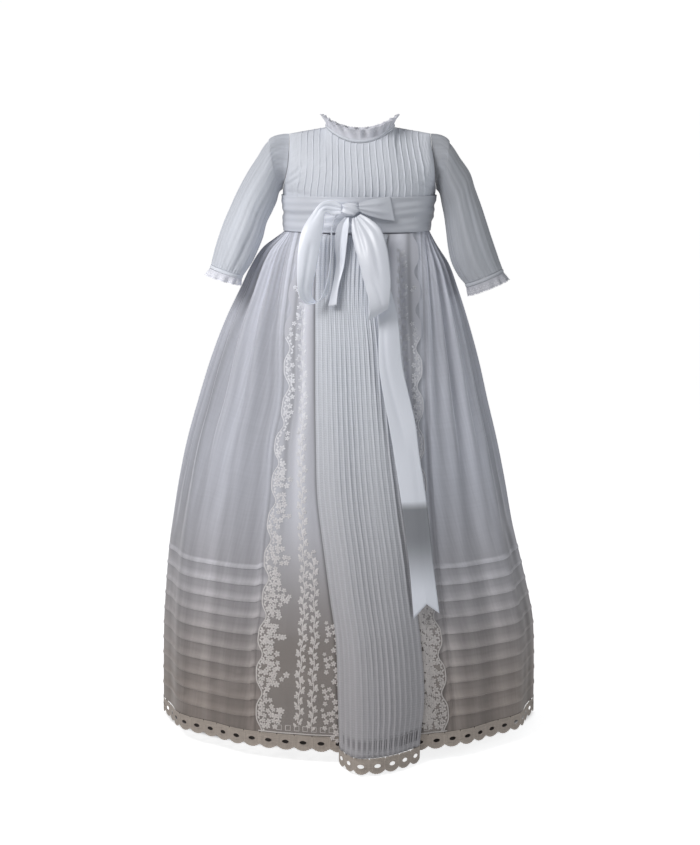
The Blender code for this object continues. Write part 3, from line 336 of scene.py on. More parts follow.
# Back closing
PLACKET_HALF = 0.0065
PLACKET_START = 0.015
PLACKET_END = 0.6
BUTTONS = 4
BUTTON_RADIUS = 0.0045
BUTTON_THICKNESS = 0.0022
BUTTON_FIRST = 0.031
BUTTON_STEP = 0.018
BUTTON_LIFT = 2 * GAP + LACE_WALL

# Cloth details that only the finished look has
RIPPLE_DEPTH = 0.0007
RIPPLES_PER_FOLD = 3
LINING_END = 0.725
BAND_CLOSE = 0.003
LACE_FOLDS = (0.32, 0.76)
# Painted side light: the left sleeve and its cuff are painted lighter and the right ones darker, as the light
# falls
PAINTED_SIDE_LIGHT = {"left": 1.3, "right": 0.78}
HEM_SIDES = 44
HEM_RINGS = 9
# Flowers of one sprig: across, down, size
SPRIG_FLOWERS = (
    (-0.0085, -0.019, 0.7), (-0.006, -0.011, 0.95), (0.001, -0.014, 0.85), (-0.003, -0.003, 1.05),
    (0.005, -0.006, 0.95), (-0.005, 0.006, 0.85), (0.009, 0.003, 1.0), (0.011, 0.012, 1.05),
    (0.006, 0.019, 0.95), (0.0125, 0.023, 0.8),
)
# How far in from the edge the scallops' flowers reach: drop, distance
SCALLOP_SPREAD = millimetres(
    (150, 8), (290, 10), (450, 19), (600, 27), (720, 32), (857, 34),
)
# Rounded tuck of the centre panel: place across it, share of its rise
PANEL_FOLD = (
    (-1.0, 0.0), (-0.7, 0.3), (-0.4, 0.72), (-0.1, 0.96), (0.15, 1.0), (0.45, 0.84), (0.7, 0.4),
    (0.85, 0.08), (1.0, 0.0),
)
# Vines up the lace panel: drop, share of its width
VINE_OUTER = (
    (0.17, 0.4), (0.29, 0.41), (0.455, 0.54), (0.6, 0.57), (0.75, 0.5), (0.857, 0.46),
)
VINE_INNER = (
    (0.17, 0.66), (0.4, 0.69), (0.6, 0.7), (0.73, 0.65), (0.857, 0.61),
)
# Sprigs: share of the panel's width, drop
SPRIGS = (
    (0.84, 0.718), (0.82, 0.762), (0.8, 0.806), (0.79, 0.84),
)
# Painted light and shade of each ribbon of the bow: how much lighter or darker it is painted
RIBBON_PAINTED_LIGHT = {
    "bow_loop_left": 1.28,
    "bow_loop_right": 0.98,
    "bow_tail_short": 1.12,
    "bow_tail_long": 1.06,
    "bow_wing_right": 0.9,
}
# Creases of the bow: piece, place across and station at both ends, depth, half width
RIBBON_CREASES = (
    ("bow_loop_left", 0.45, 0.2, 0.3, 4.0, 0.0016, 0.1),
    ("bow_loop_left", 0.7, 0.2, 0.78, 3.0, 0.0014, 0.08),
    ("bow_loop_left", 0.55, 5.0, 0.4, 9.5, 0.0016, 0.12),
    ("bow_loop_left", 0.5, 11.0, 0.5, 15.0, 0.0014, 0.1),
    ("bow_loop_right", 0.3, 0.2, 0.22, 3.6, 0.0016, 0.07),
    ("bow_loop_right", 0.55, 0.2, 0.6, 4.5, 0.0018, 0.08),
    ("bow_loop_right", 0.8, 0.4, 0.84, 3.0, 0.0012, 0.06),
    ("bow_loop_right", 0.4, 4.0, 0.75, 6.4, 0.001, 0.1),
    ("bow_wing_right", 0.35, 0.0, 0.2, 3.0, 0.0012, 0.08),
    ("bow_wing_right", 0.62, 0.0, 0.7, 3.0, 0.0014, 0.09),
    ("bow_tail_short", 0.5, 0.0, 0.45, 3.5, 0.0016, 0.14),
    ("bow_tail_long", 0.5, 0.0, 0.4, 3.0, 0.0016, 0.12),
    ("bow_tail_long", 0.25, 3.4, 0.55, 6.0, 0.0013, 0.1),
    ("bow_tail_long", 0.8, 6.0, 0.6, 8.6, 0.0008, 0.12),
)

# Light, camera and backdrop
GOWN_MIDDLE = (0.0, 0.0, -0.42)
KEY_PLACE, KEY_SIZE, KEY_COLOUR = (-1.15, -1.15, 0.95), 0.9, (1.0, 0.99, 0.99)
FILL_PLACE, FILL_SIZE, FILL_COLOUR = (2.0, -0.9, 0.1), 1.4, (0.92, 0.96, 1.0)
CAMERA_PLACE = (-0.0148, -3.17, 0.053)
CAMERA_TILT = 81.2
CAMERA_LENS = 91.3
FLOOR_DROP = 0.8985
FLOOR_FRONT, FLOOR_BACK = -6.0, 4.0
SWEEP_CURVE = 1.2
WALL_TOP = 7.0
PAPER_HALF = 7.0
# The paper's colour, and the painted shadow colour of the floor under the gown and where it is seen through
# the cloth
PAPER, SHADED_PAPER = (0.9, 0.9, 0.9, 1.0), (0.2, 0.18, 0.17, 1.0)
PAPER_GLOW = 0.8
SHADE_BEHIND = 0.08

# Needlework of the lace and the panel, and where the long tail lies in shade
EDGE_START = 0.3
EDGE_STITCH = 0.0042
FLOWER_STEP = 0.0074
VINE_FLOWER, SPRIG_FLOWER = 0.74, 0.85
# Painted side light of the lace flowers: lighter on the left and darker on the right, as the light falls
PAINTED_THREAD_SIDE_LIGHT = {"left": 1.05, "right": 0.84}
SLOT_CORDS = (0.8475, 0.8625)
TAIL_SHADE = (0.526, 0.575, 0.665)


def read(table, key, column):
    """Value of one column where the first column reaches key, along a smooth curve."""
    rows = np.array(table, dtype=float)
    places, values = rows[:, 0], rows[:, column]
    last = len(rows) - 1
    before = np.maximum(np.arange(last + 1) - 1, 0)
    after = np.minimum(np.arange(last + 1) + 1, last)
    slope = (values[after] - values[before]) / (places[after] - places[before])
    key = np.clip(key, places[0], places[-1])
    row = np.clip(np.searchsorted(places, key) - 1, 0, last - 1)
    span = places[row + 1] - places[row]
    t = (key - places[row]) / span
    start = (1 + 2 * t) * (1 - t) ** 2 * values[row] + t * (1 - t) ** 2 * span * slope[row]
    return start + t * t * (3 - 2 * t) * values[row + 1] + t * t * (t - 1) * span * slope[row + 1]


def join(x, y, z):
    """Points from three arrays of any matching shapes."""
    return np.stack(np.broadcast_arrays(x, y, z), axis=-1).astype(float)


def mix(a, b, share):
    """Between a and b by share."""
    return a + (b - a) * share


def ease(value):
    """A smooth step from 0 to 1."""
    value = np.clip(value, 0.0, 1.0)
    return value * value * (3 - 2 * value)


def fade(value, start, end):
    """1 before start and 0 after end, with a smooth change between them."""
    return 1 - ease((value - start) / (end - start))


def bell(value, middle, half):
    """1 at the middle, falling softly to nothing past half."""
    return np.exp(-((value - middle) / half) ** 2)


def unit(vectors):
    """Vectors of length 1."""
    return vectors / np.maximum(np.linalg.norm(vectors, axis=-1, keepdims=True), 1e-12)


def uneven(a, b, seed, waves=5):
    """A soft, patternless change between about -1 and 1 over two coordinates."""
    random = np.random.default_rng(seed)
    total = 0.0
    for _ in range(waves):
        along, over, start = random.uniform(0.5, 1.6), random.uniform(-1.0, 1.0), random.uniform(0, 6.3)
        total = total + np.sin(along * a + over * b + start)
    return total / math.sqrt(waves)


def fold_line(x, drop, row):
    """How strongly one soft trough acts at each place: 1 on its line and 0 well off it."""
    x0, drop0, x1, drop1, _, half = row
    along = np.array([x1 - x0, drop1 - drop0])
    length = np.linalg.norm(along)
    along = along / length
    reached = (x - x0) * along[0] + (drop - drop0) * along[1]
    aside = (x - x0) * along[1] - (drop - drop0) * along[0]
    ends = ease(reached / (0.22 * length) + 0.5) * ease((length - reached) / (0.35 * length))
    return bell(aside, 0.0, half) * ends


def creases(x, drop, table):
    """Sum of soft troughs, given as both ends (X, drop), depth and half width."""
    total = np.zeros(np.broadcast(x, drop).shape)
    for row in table:
        total = total - row[4] * fold_line(x, drop, row)
    return total


class Cloth:
    """Where a piece of cloth lies, for places across it and places down it."""

    def __init__(self, place, across_step, down_step, facing=1.0):
        self.place = place
        self.across_step = across_step
        self.down_step = down_step
        self.facing = facing

    def at(self, across, down, rise=0.0):
        """Points of the cloth, moved out along its normals by rise."""
        across, down = np.broadcast_arrays(np.asarray(across, float), np.asarray(down, float))
        sideways = self.place(across + self.across_step, down) - self.place(across - self.across_step, down)
        downward = self.place(across, down + self.down_step) - self.place(across, down - self.down_step)
        normal = unit(np.cross(downward, sideways)) * self.facing
        rise = np.broadcast_to(np.asarray(rise, float), across.shape)
        return self.place(across, down) + normal * rise[..., None]


def grid(across, down):
    """Places across and down as two arrays with a row for each place down."""
    return np.meshgrid(np.asarray(across, float), np.asarray(down, float))


def hold_front(points):
    """Hold a front piece just in front of the side seams."""
    points[..., 1] = np.minimum(points[..., 1], -GAP / 2)
    return points


def hold_back(points):
    """Hold a back piece just behind the side seams."""
    points[..., 1] = np.maximum(points[..., 1], GAP / 2)
    return points


def lengths(points, axis):
    """Length reached along the rows (axis 1) or the columns (axis 0) of a grid of points."""
    steps = np.linalg.norm(np.diff(points, axis=axis), axis=-1)
    first = np.zeros_like(np.take(steps, [0], axis=axis))
    return np.concatenate([first, np.cumsum(steps, axis=axis)], axis=axis)


def new_piece(name, points, faces, corner_map, finish, tone=1.0):
    """An object from points, faces, a cloth map in metres and its painted light and shade, with some random
    tone, which lightens or dims its colour.
    """
    mesh = bpy.data.meshes.new(name)
    mesh.from_pydata(points.tolist(), [], faces.tolist() if hasattr(faces, "tolist") else faces)
    layer = mesh.uv_layers.new(name=CLOTH_MAP)
    layer.uv.foreach_set("vector", np.asarray(corner_map, dtype=np.float32).ravel())
    shade = mesh.attributes.new("tone", "FLOAT", "POINT")
    shade.data.foreach_set("value", np.broadcast_to(tone, len(points)).astype(np.float32))
    mesh.materials.append(finish)
    mesh.shade_smooth()
    piece = bpy.data.objects.new(name, mesh)
    bpy.context.scene.collection.objects.link(piece)
    return piece


def lay_cloth(name, points, finish, closed=False, flip=False, thick=0.0, tone=1.0):
    """A sheet of cloth on a grid of points. A closed one joins its last column to its first."""
    rows, columns = points.shape[:2]
    open_points = np.concatenate([points, points[:, :1]], axis=1) if closed else points
    across, down = lengths(open_points, 1), lengths(open_points, 0)
    row, column = np.meshgrid(np.arange(rows - 1), np.arange(open_points.shape[1] - 1), indexing="ij")
    row, column = row.ravel(), column.ravel()
    corners = [(row, column), (row + 1, column), (row + 1, column + 1), (row, column + 1)]
    if flip:
        corners.reverse()
    faces = np.stack([r * columns + c % columns for r, c in corners], axis=1)
    corner_map = np.stack([np.stack([across[r, c], down[r, c]], axis=1) for r, c in corners], axis=1)
    tone = np.broadcast_to(tone, points.shape[:2]).ravel()
    piece = new_piece(name, points.reshape(-1, 3), faces, corner_map, finish, tone)
    if thick:
        shell = piece.modifiers.new("thickness", "SOLIDIFY")
        shell.thickness = thick
        shell.offset = -1.0
    return piece


class Needlework:
    """Collects raised motifs as flat places on a cloth, each with a rise, and lays them down together."""

    def __init__(self):
        self.places = []
        self.faces = []
        self.count = 0

    def add(self, places, faces):
        """Add points (across in metres, drop, rise) and their faces."""
        self.places.append(np.asarray(places, float))
        self.faces.extend([tuple(corner + self.count for corner in face) for face in faces])
        self.count += len(places)

    def patch(self, x, drop, length, width, turn, rise, sides=8, point=0.0):
        """A domed oval. Its long way lies along turn, and point above 0 sharpens its ends."""
        angle = np.linspace(0, WHOLE_TURN, sides, endpoint=False)
        along = 0.5 * length * np.cos(angle)
        over = 0.5 * width * np.sin(angle) * (1 - point * np.cos(angle) ** 2)
        rim_x = x + along * math.cos(turn) - over * math.sin(turn)
        rim_drop = drop + along * math.sin(turn) + over * math.cos(turn)
        rim = join(rim_x, rim_drop, 0.2 * rise)
        faces = [(number, (number + 1) % sides, sides) for number in range(sides)]
        self.add(np.concatenate([rim, [[x, drop, rise]]]), faces)

    def flower(self, x, drop, radius, turn, rise, petals=5):
        """Petals round a raised knot."""
        for number in range(petals):
            angle = turn + WHOLE_TURN * number / petals
            middle_x = x + 0.6 * radius * math.cos(angle)
            middle_drop = drop + 0.6 * radius * math.sin(angle)
            self.patch(middle_x, middle_drop, 0.86 * radius, 0.68 * radius, angle, rise, 7)
        self.patch(x, drop, 0.42 * radius, 0.42 * radius, turn, 1.35 * rise, 6)

    def line(self, xs, drops, width, rise):
        """A raised cord along places."""
        path = np.stack([xs, drops], axis=1)
        ahead = unit(np.gradient(path, axis=0))
        aside = np.stack([-ahead[:, 1], ahead[:, 0]], axis=1) * width / 2
        left, right = path + aside, path - aside
        points = np.concatenate([
            np.column_stack([left, np.full(len(path), 0.1 * rise)]),
            np.column_stack([path, np.full(len(path), rise)]),
            np.column_stack([right, np.full(len(path), 0.1 * rise)]),
        ])
        count = len(path)
        faces = []
        for number in range(count - 1):
            for first in (0, count):
                a = first + number
                faces.append((a, a + 1, a + count + 1, a + count))
        self.add(points, faces)

    def lay(self, name, place, finish, tone=1.0):
        """Make the object, with place giving points for (across, drop, rise)."""
        flat = np.concatenate(self.places)
        points = place(flat[:, 0], flat[:, 1], flat[:, 2])
        corners = np.concatenate([np.array(face) for face in self.faces])
        return new_piece(name, points, self.faces, flat[corners][:, :2], finish, tone)


def no_hold(points):
    """Leave a piece's points as they are."""
    return points


def bodice_side(share, drop):
    """Half width of the bodice on the side that share lies on."""
    return np.where(share > 0, read(BODICE, drop, B_RIGHT), read(BODICE, drop, B_LEFT))


def bodice_place(neck, back):
    """The bodice front or back: across is -1 to 1, down is 0 at the shoulder and 1 at the waist."""
    neck_depth, neck_drop = neck
    facing = 1.0 if back else -1.0

    def place(share, down):
        share = np.clip(share, -1.0, 1.0)
        inside = np.maximum(1 - (share / NECK_SHARE) ** 2, 0.0)
        slope = SHOULDER_SLOPE * (np.abs(share) - NECK_SHARE) / (1 - NECK_SHARE)
        top_drop = np.where(inside > 0, neck_drop * inside, slope)
        drop = mix(top_drop, BODICE_END, down)
        lean = np.maximum(0.0, 1 - 2 * down) ** NECK_FADE
        round_depth = read(BODICE, drop, B_DEPTH) * np.sqrt(1 - share * share)
        cut = read(BODICE, drop, B_ARMHOLE) * share ** ARMHOLE_SPREAD
        depth = (round_depth + cut) * (1 - lean) + neck_depth * np.sqrt(inside) * lean
        return join(share * bodice_side(share, drop), facing * depth, -drop)

    return place


FRONT_PLACE = bodice_place(FRONT_NECK, back=False)
BACK_PLACE = bodice_place(BACK_NECK, back=True)
FRONT_CLOTH = Cloth(FRONT_PLACE, 0.004, 0.004)
BACK_CLOTH = Cloth(BACK_PLACE, 0.004, 0.004, -1.0)


def neck_place(band_rise, flare, swing):
    """Standing cloth round the neck: across is the angle in degrees, down is the height above its seam."""

    def place(angle, height):
        turn = np.radians(angle)
        share = NECK_SHARE * np.sin(turn)
        front = np.cos(turn) > 0
        base_z = np.where(front, FRONT_PLACE(share, 0.0)[..., 2], BACK_PLACE(share, 0.0)[..., 2])
        base_x = FRONT_PLACE(share, 0.0)[..., 0]
        depth = np.where(front, FRONT_NECK[0], BACK_NECK[0])
        climb = np.maximum(height, 0.0) / NECK_FRILL_HEIGHT
        push = flare * climb ** NECK_FRILL_CURL + swing(turn, climb)
        x = base_x + np.sin(turn) * push
        return join(x, -depth * np.cos(turn) - np.cos(turn) * push, base_z + band_rise + height)

    return place


def armhole(sign, turn):
    """Points of the armhole seam. A turn of 0 is its top, and a quarter turn its front."""
    drop = mix(SHOULDER_SLOPE, UNDERARM, (1 - np.cos(turn)) / 2)
    down = (drop - SHOULDER_SLOPE) / (BODICE_END - SHOULDER_SLOPE)
    share = np.full(np.shape(turn), float(sign))
    return np.where((np.sin(turn) > 0)[..., None], FRONT_PLACE(share, down), BACK_PLACE(share, down))


def sleeve_ring(table, turn, station, swell):
    """A sleeve's section at a station, drawn out or in by swell, a length."""
    outer = join(read(table, station, 1), 0.0, -read(table, station, 2))
    inner = join(read(table, station, 3), 0.0, -read(table, station, 4))
    middle = (outer + inner) / 2 + join(0.0, read(table, station, 5), 0.0)
    half = (outer - inner) / 2
    grown = 1 + swell / np.linalg.norm(half, axis=-1)
    across = half * (np.cos(turn) * grown)[..., None]
    return middle + across + join(0.0, -read(table, station, 6) * np.sin(turn) * grown, 0.0)


def sleeve_place(table, sign, swell):
    """A sleeve: across is the turn in degrees, down is the station. Swell is a function of both."""

    def place(angle, station):
        turn = np.radians(angle)
        ring = sleeve_ring(table, turn, np.maximum(station, CAP_START), swell(turn, station))
        seam = armhole(sign, turn) + join(sign * ARMHOLE_CLEAR, 0.0, 0.0)
        share = np.where(station >= 1.0, 1.0, ease(station))[..., None]
        puff = sign * CAP_PUFF * np.sin(math.pi * np.clip(station, 0.0, 1.0)) * np.cos(turn / 2) ** 2
        return mix(seam, ring, share) + join(puff, 0.0, 0.0)

    return place


def broad_swell(angle, drop):
    """Depth of the broad soft folds. It is nothing at the side seams and in front."""
    depth = read(SKIRT, drop, S_BROAD) * np.where(np.abs(angle) >= 90, 1.0, BROAD_SIDE_SHARE)
    behind = BROAD_BACK_WAVES * (np.abs(angle) - 90) / 180
    beside = np.minimum(BROAD_SIDE_WAVES * (90 - np.abs(angle)) / BROAD_SIDE_SPAN, BROAD_SIDE_WAVES)
    phase = np.where(np.abs(angle) >= 90, behind, beside)
    return -depth * (1 - np.cos(WHOLE_TURN * phase)) / 2


def shell_point(angle, drop, swell=0.0):
    """The skirt's shape: angle is in degrees from the front, positive to the right."""
    turn = np.radians(angle)
    side = np.where(np.sin(turn) > 0, read(SKIRT, drop, S_RIGHT), read(SKIRT, drop, S_LEFT))
    depth = read(SKIRT, drop, S_DEPTH)
    return join((side + swell) * np.sin(turn), -(depth + swell) * np.cos(turn), -drop)


def shell_angle(x, drop):
    """The angle at which the front of the skirt reaches x."""
    side = np.where(x > 0, read(SKIRT, drop, S_RIGHT), read(SKIRT, drop, S_LEFT))
    return np.degrees(np.arcsin(np.clip(x / side, -1.0, 1.0)))


def front_place(x, drop):
    """The front of the skirt without its gathers, by x."""
    return shell_point(shell_angle(x, drop), drop)


FRONT_SHELL = Cloth(front_place, 0.001, 0.001)


def gather(fold, phase, drop):
    """Inward depth of the gathers, a little different from fold to fold."""
    change = GATHER_MEAN + GATHER_CHANGE * np.sin(GATHER_TURN * fold + GATHER_START)
    return -read(SKIRT, drop, S_GATHER) * change * (1 - np.cos(WHOLE_TURN * phase)) / 2


def ripple(phase, drop, seed):
    """Small pleats under the waist seam, which run out down the skirt at different lengths."""
    reach = 0.24 + 0.1 * uneven(phase, 0.0, seed, 3)
    drawn = np.sin(WHOLE_TURN * phase + 0.9 * uneven(0.35 * phase, 5.0 * drop, seed + 1, 3))
    return RIPPLE_DEPTH * drawn * fade(drop, SKIRT_TOP + 0.03, SKIRT_TOP + 0.03 + reach) * ease(
        (drop - SKIRT_TOP) / 0.012
    )


def side_place(sign):
    """Organza side: across is 0 at the side seam, 1 just before the lace and 2 under it."""

    def place(across, drop):
        edge = lace_outer_edge(sign, drop)
        start = shell_angle(edge + sign * LACE_CLEAR, drop)
        end = shell_angle(edge - sign * LACE_UNDERLAP, drop)
        angle = mix(sign * 90.0, start, np.minimum(across, 1.0))
        phase = SIDE_FOLDS * np.minimum(across, 1.0)
        held = (1 - ease(2 * across - 1.6)) * ease(8 * across)
        swell = gather(sign * np.floor(phase), phase, drop) + broad_swell(angle, drop)
        swell = swell + held * ripple(RIPPLES_PER_FOLD * phase, drop, 11 + sign)
        folded = shell_point(angle, drop, swell)
        under = shell_point(mix(start, end, across - 1), drop)
        return np.where((across > 1)[..., None], under, folded)

    return place


def back_place(across, drop):
    """Organza back: across is 0 at the right side seam and 1 at the left one."""
    angle = mix(90.0, 270.0, across)
    wrapped = np.where(angle <= 180, angle, angle - 360)
    phase = BACK_FOLDS * across
    swell = gather(np.floor(phase), phase, drop) + broad_swell(wrapped, drop)
    held = ease(12 * across) * ease(12 * (1 - across))
    return shell_point(angle, drop, swell + held * ripple(RIPPLES_PER_FOLD * phase, drop, 31))


def hem_place(angle, drop):
    """Hem of the overskirt by angle, with its broad folds."""
    return shell_point(angle, drop, broad_swell(np.where(angle <= 180, angle, angle - 360), drop))


def lace_outer_edge(sign, drop):
    """Where a lace panel's scalloped edge lies."""
    return read(LACE_EDGE, drop, 2 if sign > 0 else 1)


def lace_inner_edge(sign, drop):
    """Where a lace panel ends behind the centre panel."""
    return read(PANEL, drop, 2 if sign > 0 else 1) - sign * LACE_TUCK_UNDER


def lace_place(sign):
    """Lace panel: across is 0 at the scalloped edge and 1 behind the centre panel."""

    def place(across, drop):
        x = mix(lace_outer_edge(sign, drop), lace_inner_edge(sign, drop), across)
        below = drop - LACE_TOP
        strong = mix(1.0, LACE_FOLD_LEAST, ease(below / LACE_FOLD_FADE)) * ease(below / LACE_FOLD_START)
        part = np.clip((across - LACE_FOLDS[0]) / (LACE_FOLDS[1] - LACE_FOLDS[0]), 0.0, 1.0)
        fold = np.sin(WHOLE_TURN * part)
        fold = np.where(fold > 0, fold, fold / 2)
        return shell_point(shell_angle(x, drop), drop, -LACE_FOLD * strong * fold)

    return place


def panel_place(share, drop):
    """Centre panel: across is -1 at its left edge and 1 at its right edge."""
    held = np.clip(share, -1.0, 1.0)
    x = mix(read(PANEL, drop, 1), read(PANEL, drop, 2), (held + 1) / 2)
    rising = np.sin(math.pi / 2 * np.clip((held + 1) / (PANEL_NOSE + 1), 0.0, 1.0))
    falling = np.cos(math.pi / 2 * np.clip((held - PANEL_NOSE) / (1 - PANEL_NOSE), 0.0, 1.0))
    arch = np.where(held < PANEL_NOSE, rising, falling) ** PANEL_ARCH
    lift = LACE_LIFT + LACE_WALL + 2 * GAP + COTTON_WALL
    return FRONT_SHELL.at(x, drop, lift) - join(0.0, read(PANEL, drop, 3) * arch, 0.0)


PANEL_CLOTH = Cloth(panel_place, 0.01, 0.001)


def lining_place(angle, drop):
    """Underskirt: the skirt's shape, set in from it."""
    return shell_point(angle, drop, -read(SKIRT, drop, S_INSET))


def band_place(angle, drop):
    """The bodice's shape at the waist, by angle."""
    turn = np.radians(angle)
    share = np.sin(turn)
    return join(share * bodice_side(share, drop), -read(BODICE, drop, B_DEPTH) * np.cos(turn), -drop)


def ribbon_place(table):
    """A ribbon through its rows: across is 0 to 1, down is the station."""

    def place(across, station):
        first = join(read(table, station, 1), read(table, station, 2), -read(table, station, 3))
        second = join(read(table, station, 4), read(table, station, 5), -read(table, station, 6))
        cup = read(table, station, 7) * 4 * across * (1 - across)
        return mix(first, second, across[..., None]) + join(0.0, -cup, 0.0)

    return place


class Wiring:
    """Adds nodes to one tree and joins them in short steps."""

    def __init__(self, tree):
        self.tree = tree

    def node(self, kind, **settings):
        """A new node with the given settings."""
        made = self.tree.nodes.new(kind)
        for key, value in settings.items():
            setattr(made, key, value)
        return made

    def feed(self, socket, value):
        """Give an input a number, a colour or another node's output."""
        if isinstance(value, bpy.types.NodeSocket):
            self.tree.links.new(value, socket)
        else:
            socket.default_value = value

    def calc(self, operation, a, b=0.0, clamp=False):
        """A math node's output."""
        made = self.node("ShaderNodeMath", operation=operation, use_clamp=clamp)
        self.feed(made.inputs[0], a)
        self.feed(made.inputs[1], b)
        return made.outputs[0]

    def times(self, a, b):
        """One value times another."""
        return self.calc("MULTIPLY", a, b)

    def plus(self, a, b, clamp=False):
        """One value and another."""
        return self.calc("ADD", a, b, clamp)

    def minus(self, a, b, clamp=False):
        """One value less another."""
        return self.calc("SUBTRACT", a, b, clamp)

    def range(self, value, low, high, to_low=0.0, to_high=1.0):
        """A value moved from one range to another, smoothly and held inside it."""
        made = self.node("ShaderNodeMapRange", interpolation_type="SMOOTHSTEP")
        for number, item in enumerate((value, low, high, to_low, to_high)):
            self.feed(made.inputs[number], item)
        return made.outputs[0]

    def blend(self, share, a, b):
        """A colour between two colours."""
        made = self.node("ShaderNodeMix", data_type="RGBA")
        self.feed(made.inputs["Factor"], share)
        self.feed(made.inputs[6], a)
        self.feed(made.inputs[7], b)
        return made.outputs[2]

    def stretched(self, across, down, scale_across, scale_down):
        """A vector of the cloth's own lengths, scaled each way."""
        made = self.node("ShaderNodeCombineXYZ")
        self.feed(made.inputs[0], self.times(across, scale_across))
        self.feed(made.inputs[1], self.times(down, scale_down))
        return made.outputs[0]

    def noise(self, vector, scale=1.0, detail=2.0):
        """Noise from about 0 to 1."""
        made = self.node("ShaderNodeTexNoise")
        self.feed(made.inputs["Vector"], vector)
        made.inputs["Scale"].default_value = scale
        made.inputs["Detail"].default_value = detail
        return made.outputs[0]

    def parts(self, vector):
        """The three parts of a vector."""
        made = self.node("ShaderNodeSeparateXYZ")
        self.feed(made.inputs[0], vector)
        return made.outputs

    def cloth_lengths(self):
        """Lengths across and down the cloth, in metres."""
        across, down, _ = self.parts(self.node("ShaderNodeUVMap", uv_map=CLOTH_MAP).outputs[0])
        return across, down

    def place(self):
        """A point's X, Y and Z."""
        return self.parts(self.node("ShaderNodeTexCoord").outputs["Object"])


def effect(name):
    """A shader node group from EFFECTS, with named inputs and outputs, made once."""
    group = bpy.data.node_groups.get(name)
    if group is None:
        inputs, outputs, build = EFFECTS[name]
        group = bpy.data.node_groups.new(name, "ShaderNodeTree")
        for label, value in inputs.items():
            socket = group.interface.new_socket(label, in_out="INPUT", socket_type="NodeSocketFloat")
            socket.default_value = value
        for label in outputs:
            group.interface.new_socket(label, in_out="OUTPUT", socket_type="NodeSocketFloat")
        wiring = Wiring(group)
        start, end = wiring.node("NodeGroupInput"), wiring.node("NodeGroupOutput")
        for label, value in build(wiring, start.outputs).items():
            wiring.feed(end.inputs[label], value)
    return group


def build_threads(wiring, given):
    """Uneven warp and weft threads."""
    across, down = wiring.cloth_lengths()
    fine, long = given["Fineness"], wiring.times(given["Fineness"], 0.04)
    warp = wiring.noise(wiring.stretched(across, down, fine, long))
    weft = wiring.noise(wiring.stretched(across, down, long, fine))
    both = wiring.plus(warp, wiring.times(weft, given["Weft"]))
    mean = wiring.times(wiring.plus(1.0, given["Weft"]), 0.5)
    change = wiring.minus(both, mean)
    shade = wiring.plus(1.0, wiring.times(change, given["Unevenness"]))
    return {"Height": both, "Shade": shade}


def build_net(wiring, given):
    """A diamond net of fine thread, 1 on its threads."""
    across, down = wiring.cloth_lengths()
    masks = []
    for sign in (1.0, -1.0):
        slant = wiring.plus(across, wiring.times(down, sign))
        phase = wiring.times(slant, wiring.calc("DIVIDE", WHOLE_TURN, given["Mesh"]))
        wave = wiring.calc("ABSOLUTE", wiring.calc("SINE", wiring.times(phase, 0.5)))
        masks.append(wiring.range(wave, given["Thread"], wiring.plus(given["Thread"], 0.35), 1.0, 0.0))
    return {"Mask": wiring.calc("MAXIMUM", *masks)}


def build_depth(wiring, given):
    """How far down the gown a place lies, from 0 at one drop to 1 at another."""
    drop = wiring.times(wiring.place()[2], -1.0)
    return {"Mask": wiring.range(drop, given["Start"], given["End"])}


def build_ladder(wiring, given):
    """Openwork bars across the cloth, 1 on a bar."""
    across, down = wiring.cloth_lengths()
    turn = wiring.times(down, wiring.calc("DIVIDE", WHOLE_TURN, given["Step"]))
    bent = wiring.plus(turn, wiring.noise(wiring.stretched(across, down, 90.0, 40.0)))
    wave = wiring.plus(wiring.times(wiring.calc("SINE", bent), 0.5), 0.5)
    return {"Mask": wave}


EFFECTS = {
    "Woven threads": (
        {"Fineness": 700.0, "Weft": 1.0, "Unevenness": 0.2}, ("Height", "Shade"), build_threads
    ),
    "Net mesh": ({"Mesh": 0.0026, "Thread": 0.2}, ("Mask",), build_net),
    "Down the gown": ({"Start": 0.5, "End": 0.8}, ("Mask",), build_depth),
    "Crosswise bars": ({"Step": 0.0032}, ("Mask",), build_ladder),
}

# Threads of each woven finish: roughness, sheen, specular, threads a metre, the weft's share, unevenness,
# how far it is raised and how strongly
WEAVES = {
    "cotton": (0.85, 0.25, 0.2, 900.0, 1.0, 0.16, 0.0003, 0.5),
    "panel": (0.85, 0.25, 0.2, 900.0, 1.0, 0.14, 0.0002, 0.4),
    "organza": (0.55, 0.35, 0.35, 260.0, 0.35, 0.14, 0.0002, 0.4),
    "thread": (0.7, 0.3, 0.3, 500.0, 1.0, 0.3, 0.0004, 0.6),
    "satin": (0.34, 0.15, 0.55, 1400.0, 0.2, 0.05, 0.00008, 0.3),
    "lining": (0.8, 0.1, 0.2, 600.0, 1.0, 0.1, 0.0002, 0.4),
    "hem_lace": (0.8, 0.2, 0.2, 1100.0, 1.0, 0.5, 0.0005, 0.8),
}
ORGANZA_GRAIN = 0.8
# How much of the light a sheer cloth stops: above, near the hem, and its brightness on the inside, where its
# inner face is painted darker as shade
SKIRT_COVER = (0.66, 0.72, 0.7)
BACK_COVER = (0.9, 0.97, 0.4)
SLEEVE_COVER = (0.66, 0.8, 0.75)
NECK_NET_COVER, CUFF_NET_COVER, LACE_NET_COVER = 0.88, 0.85, 0.6


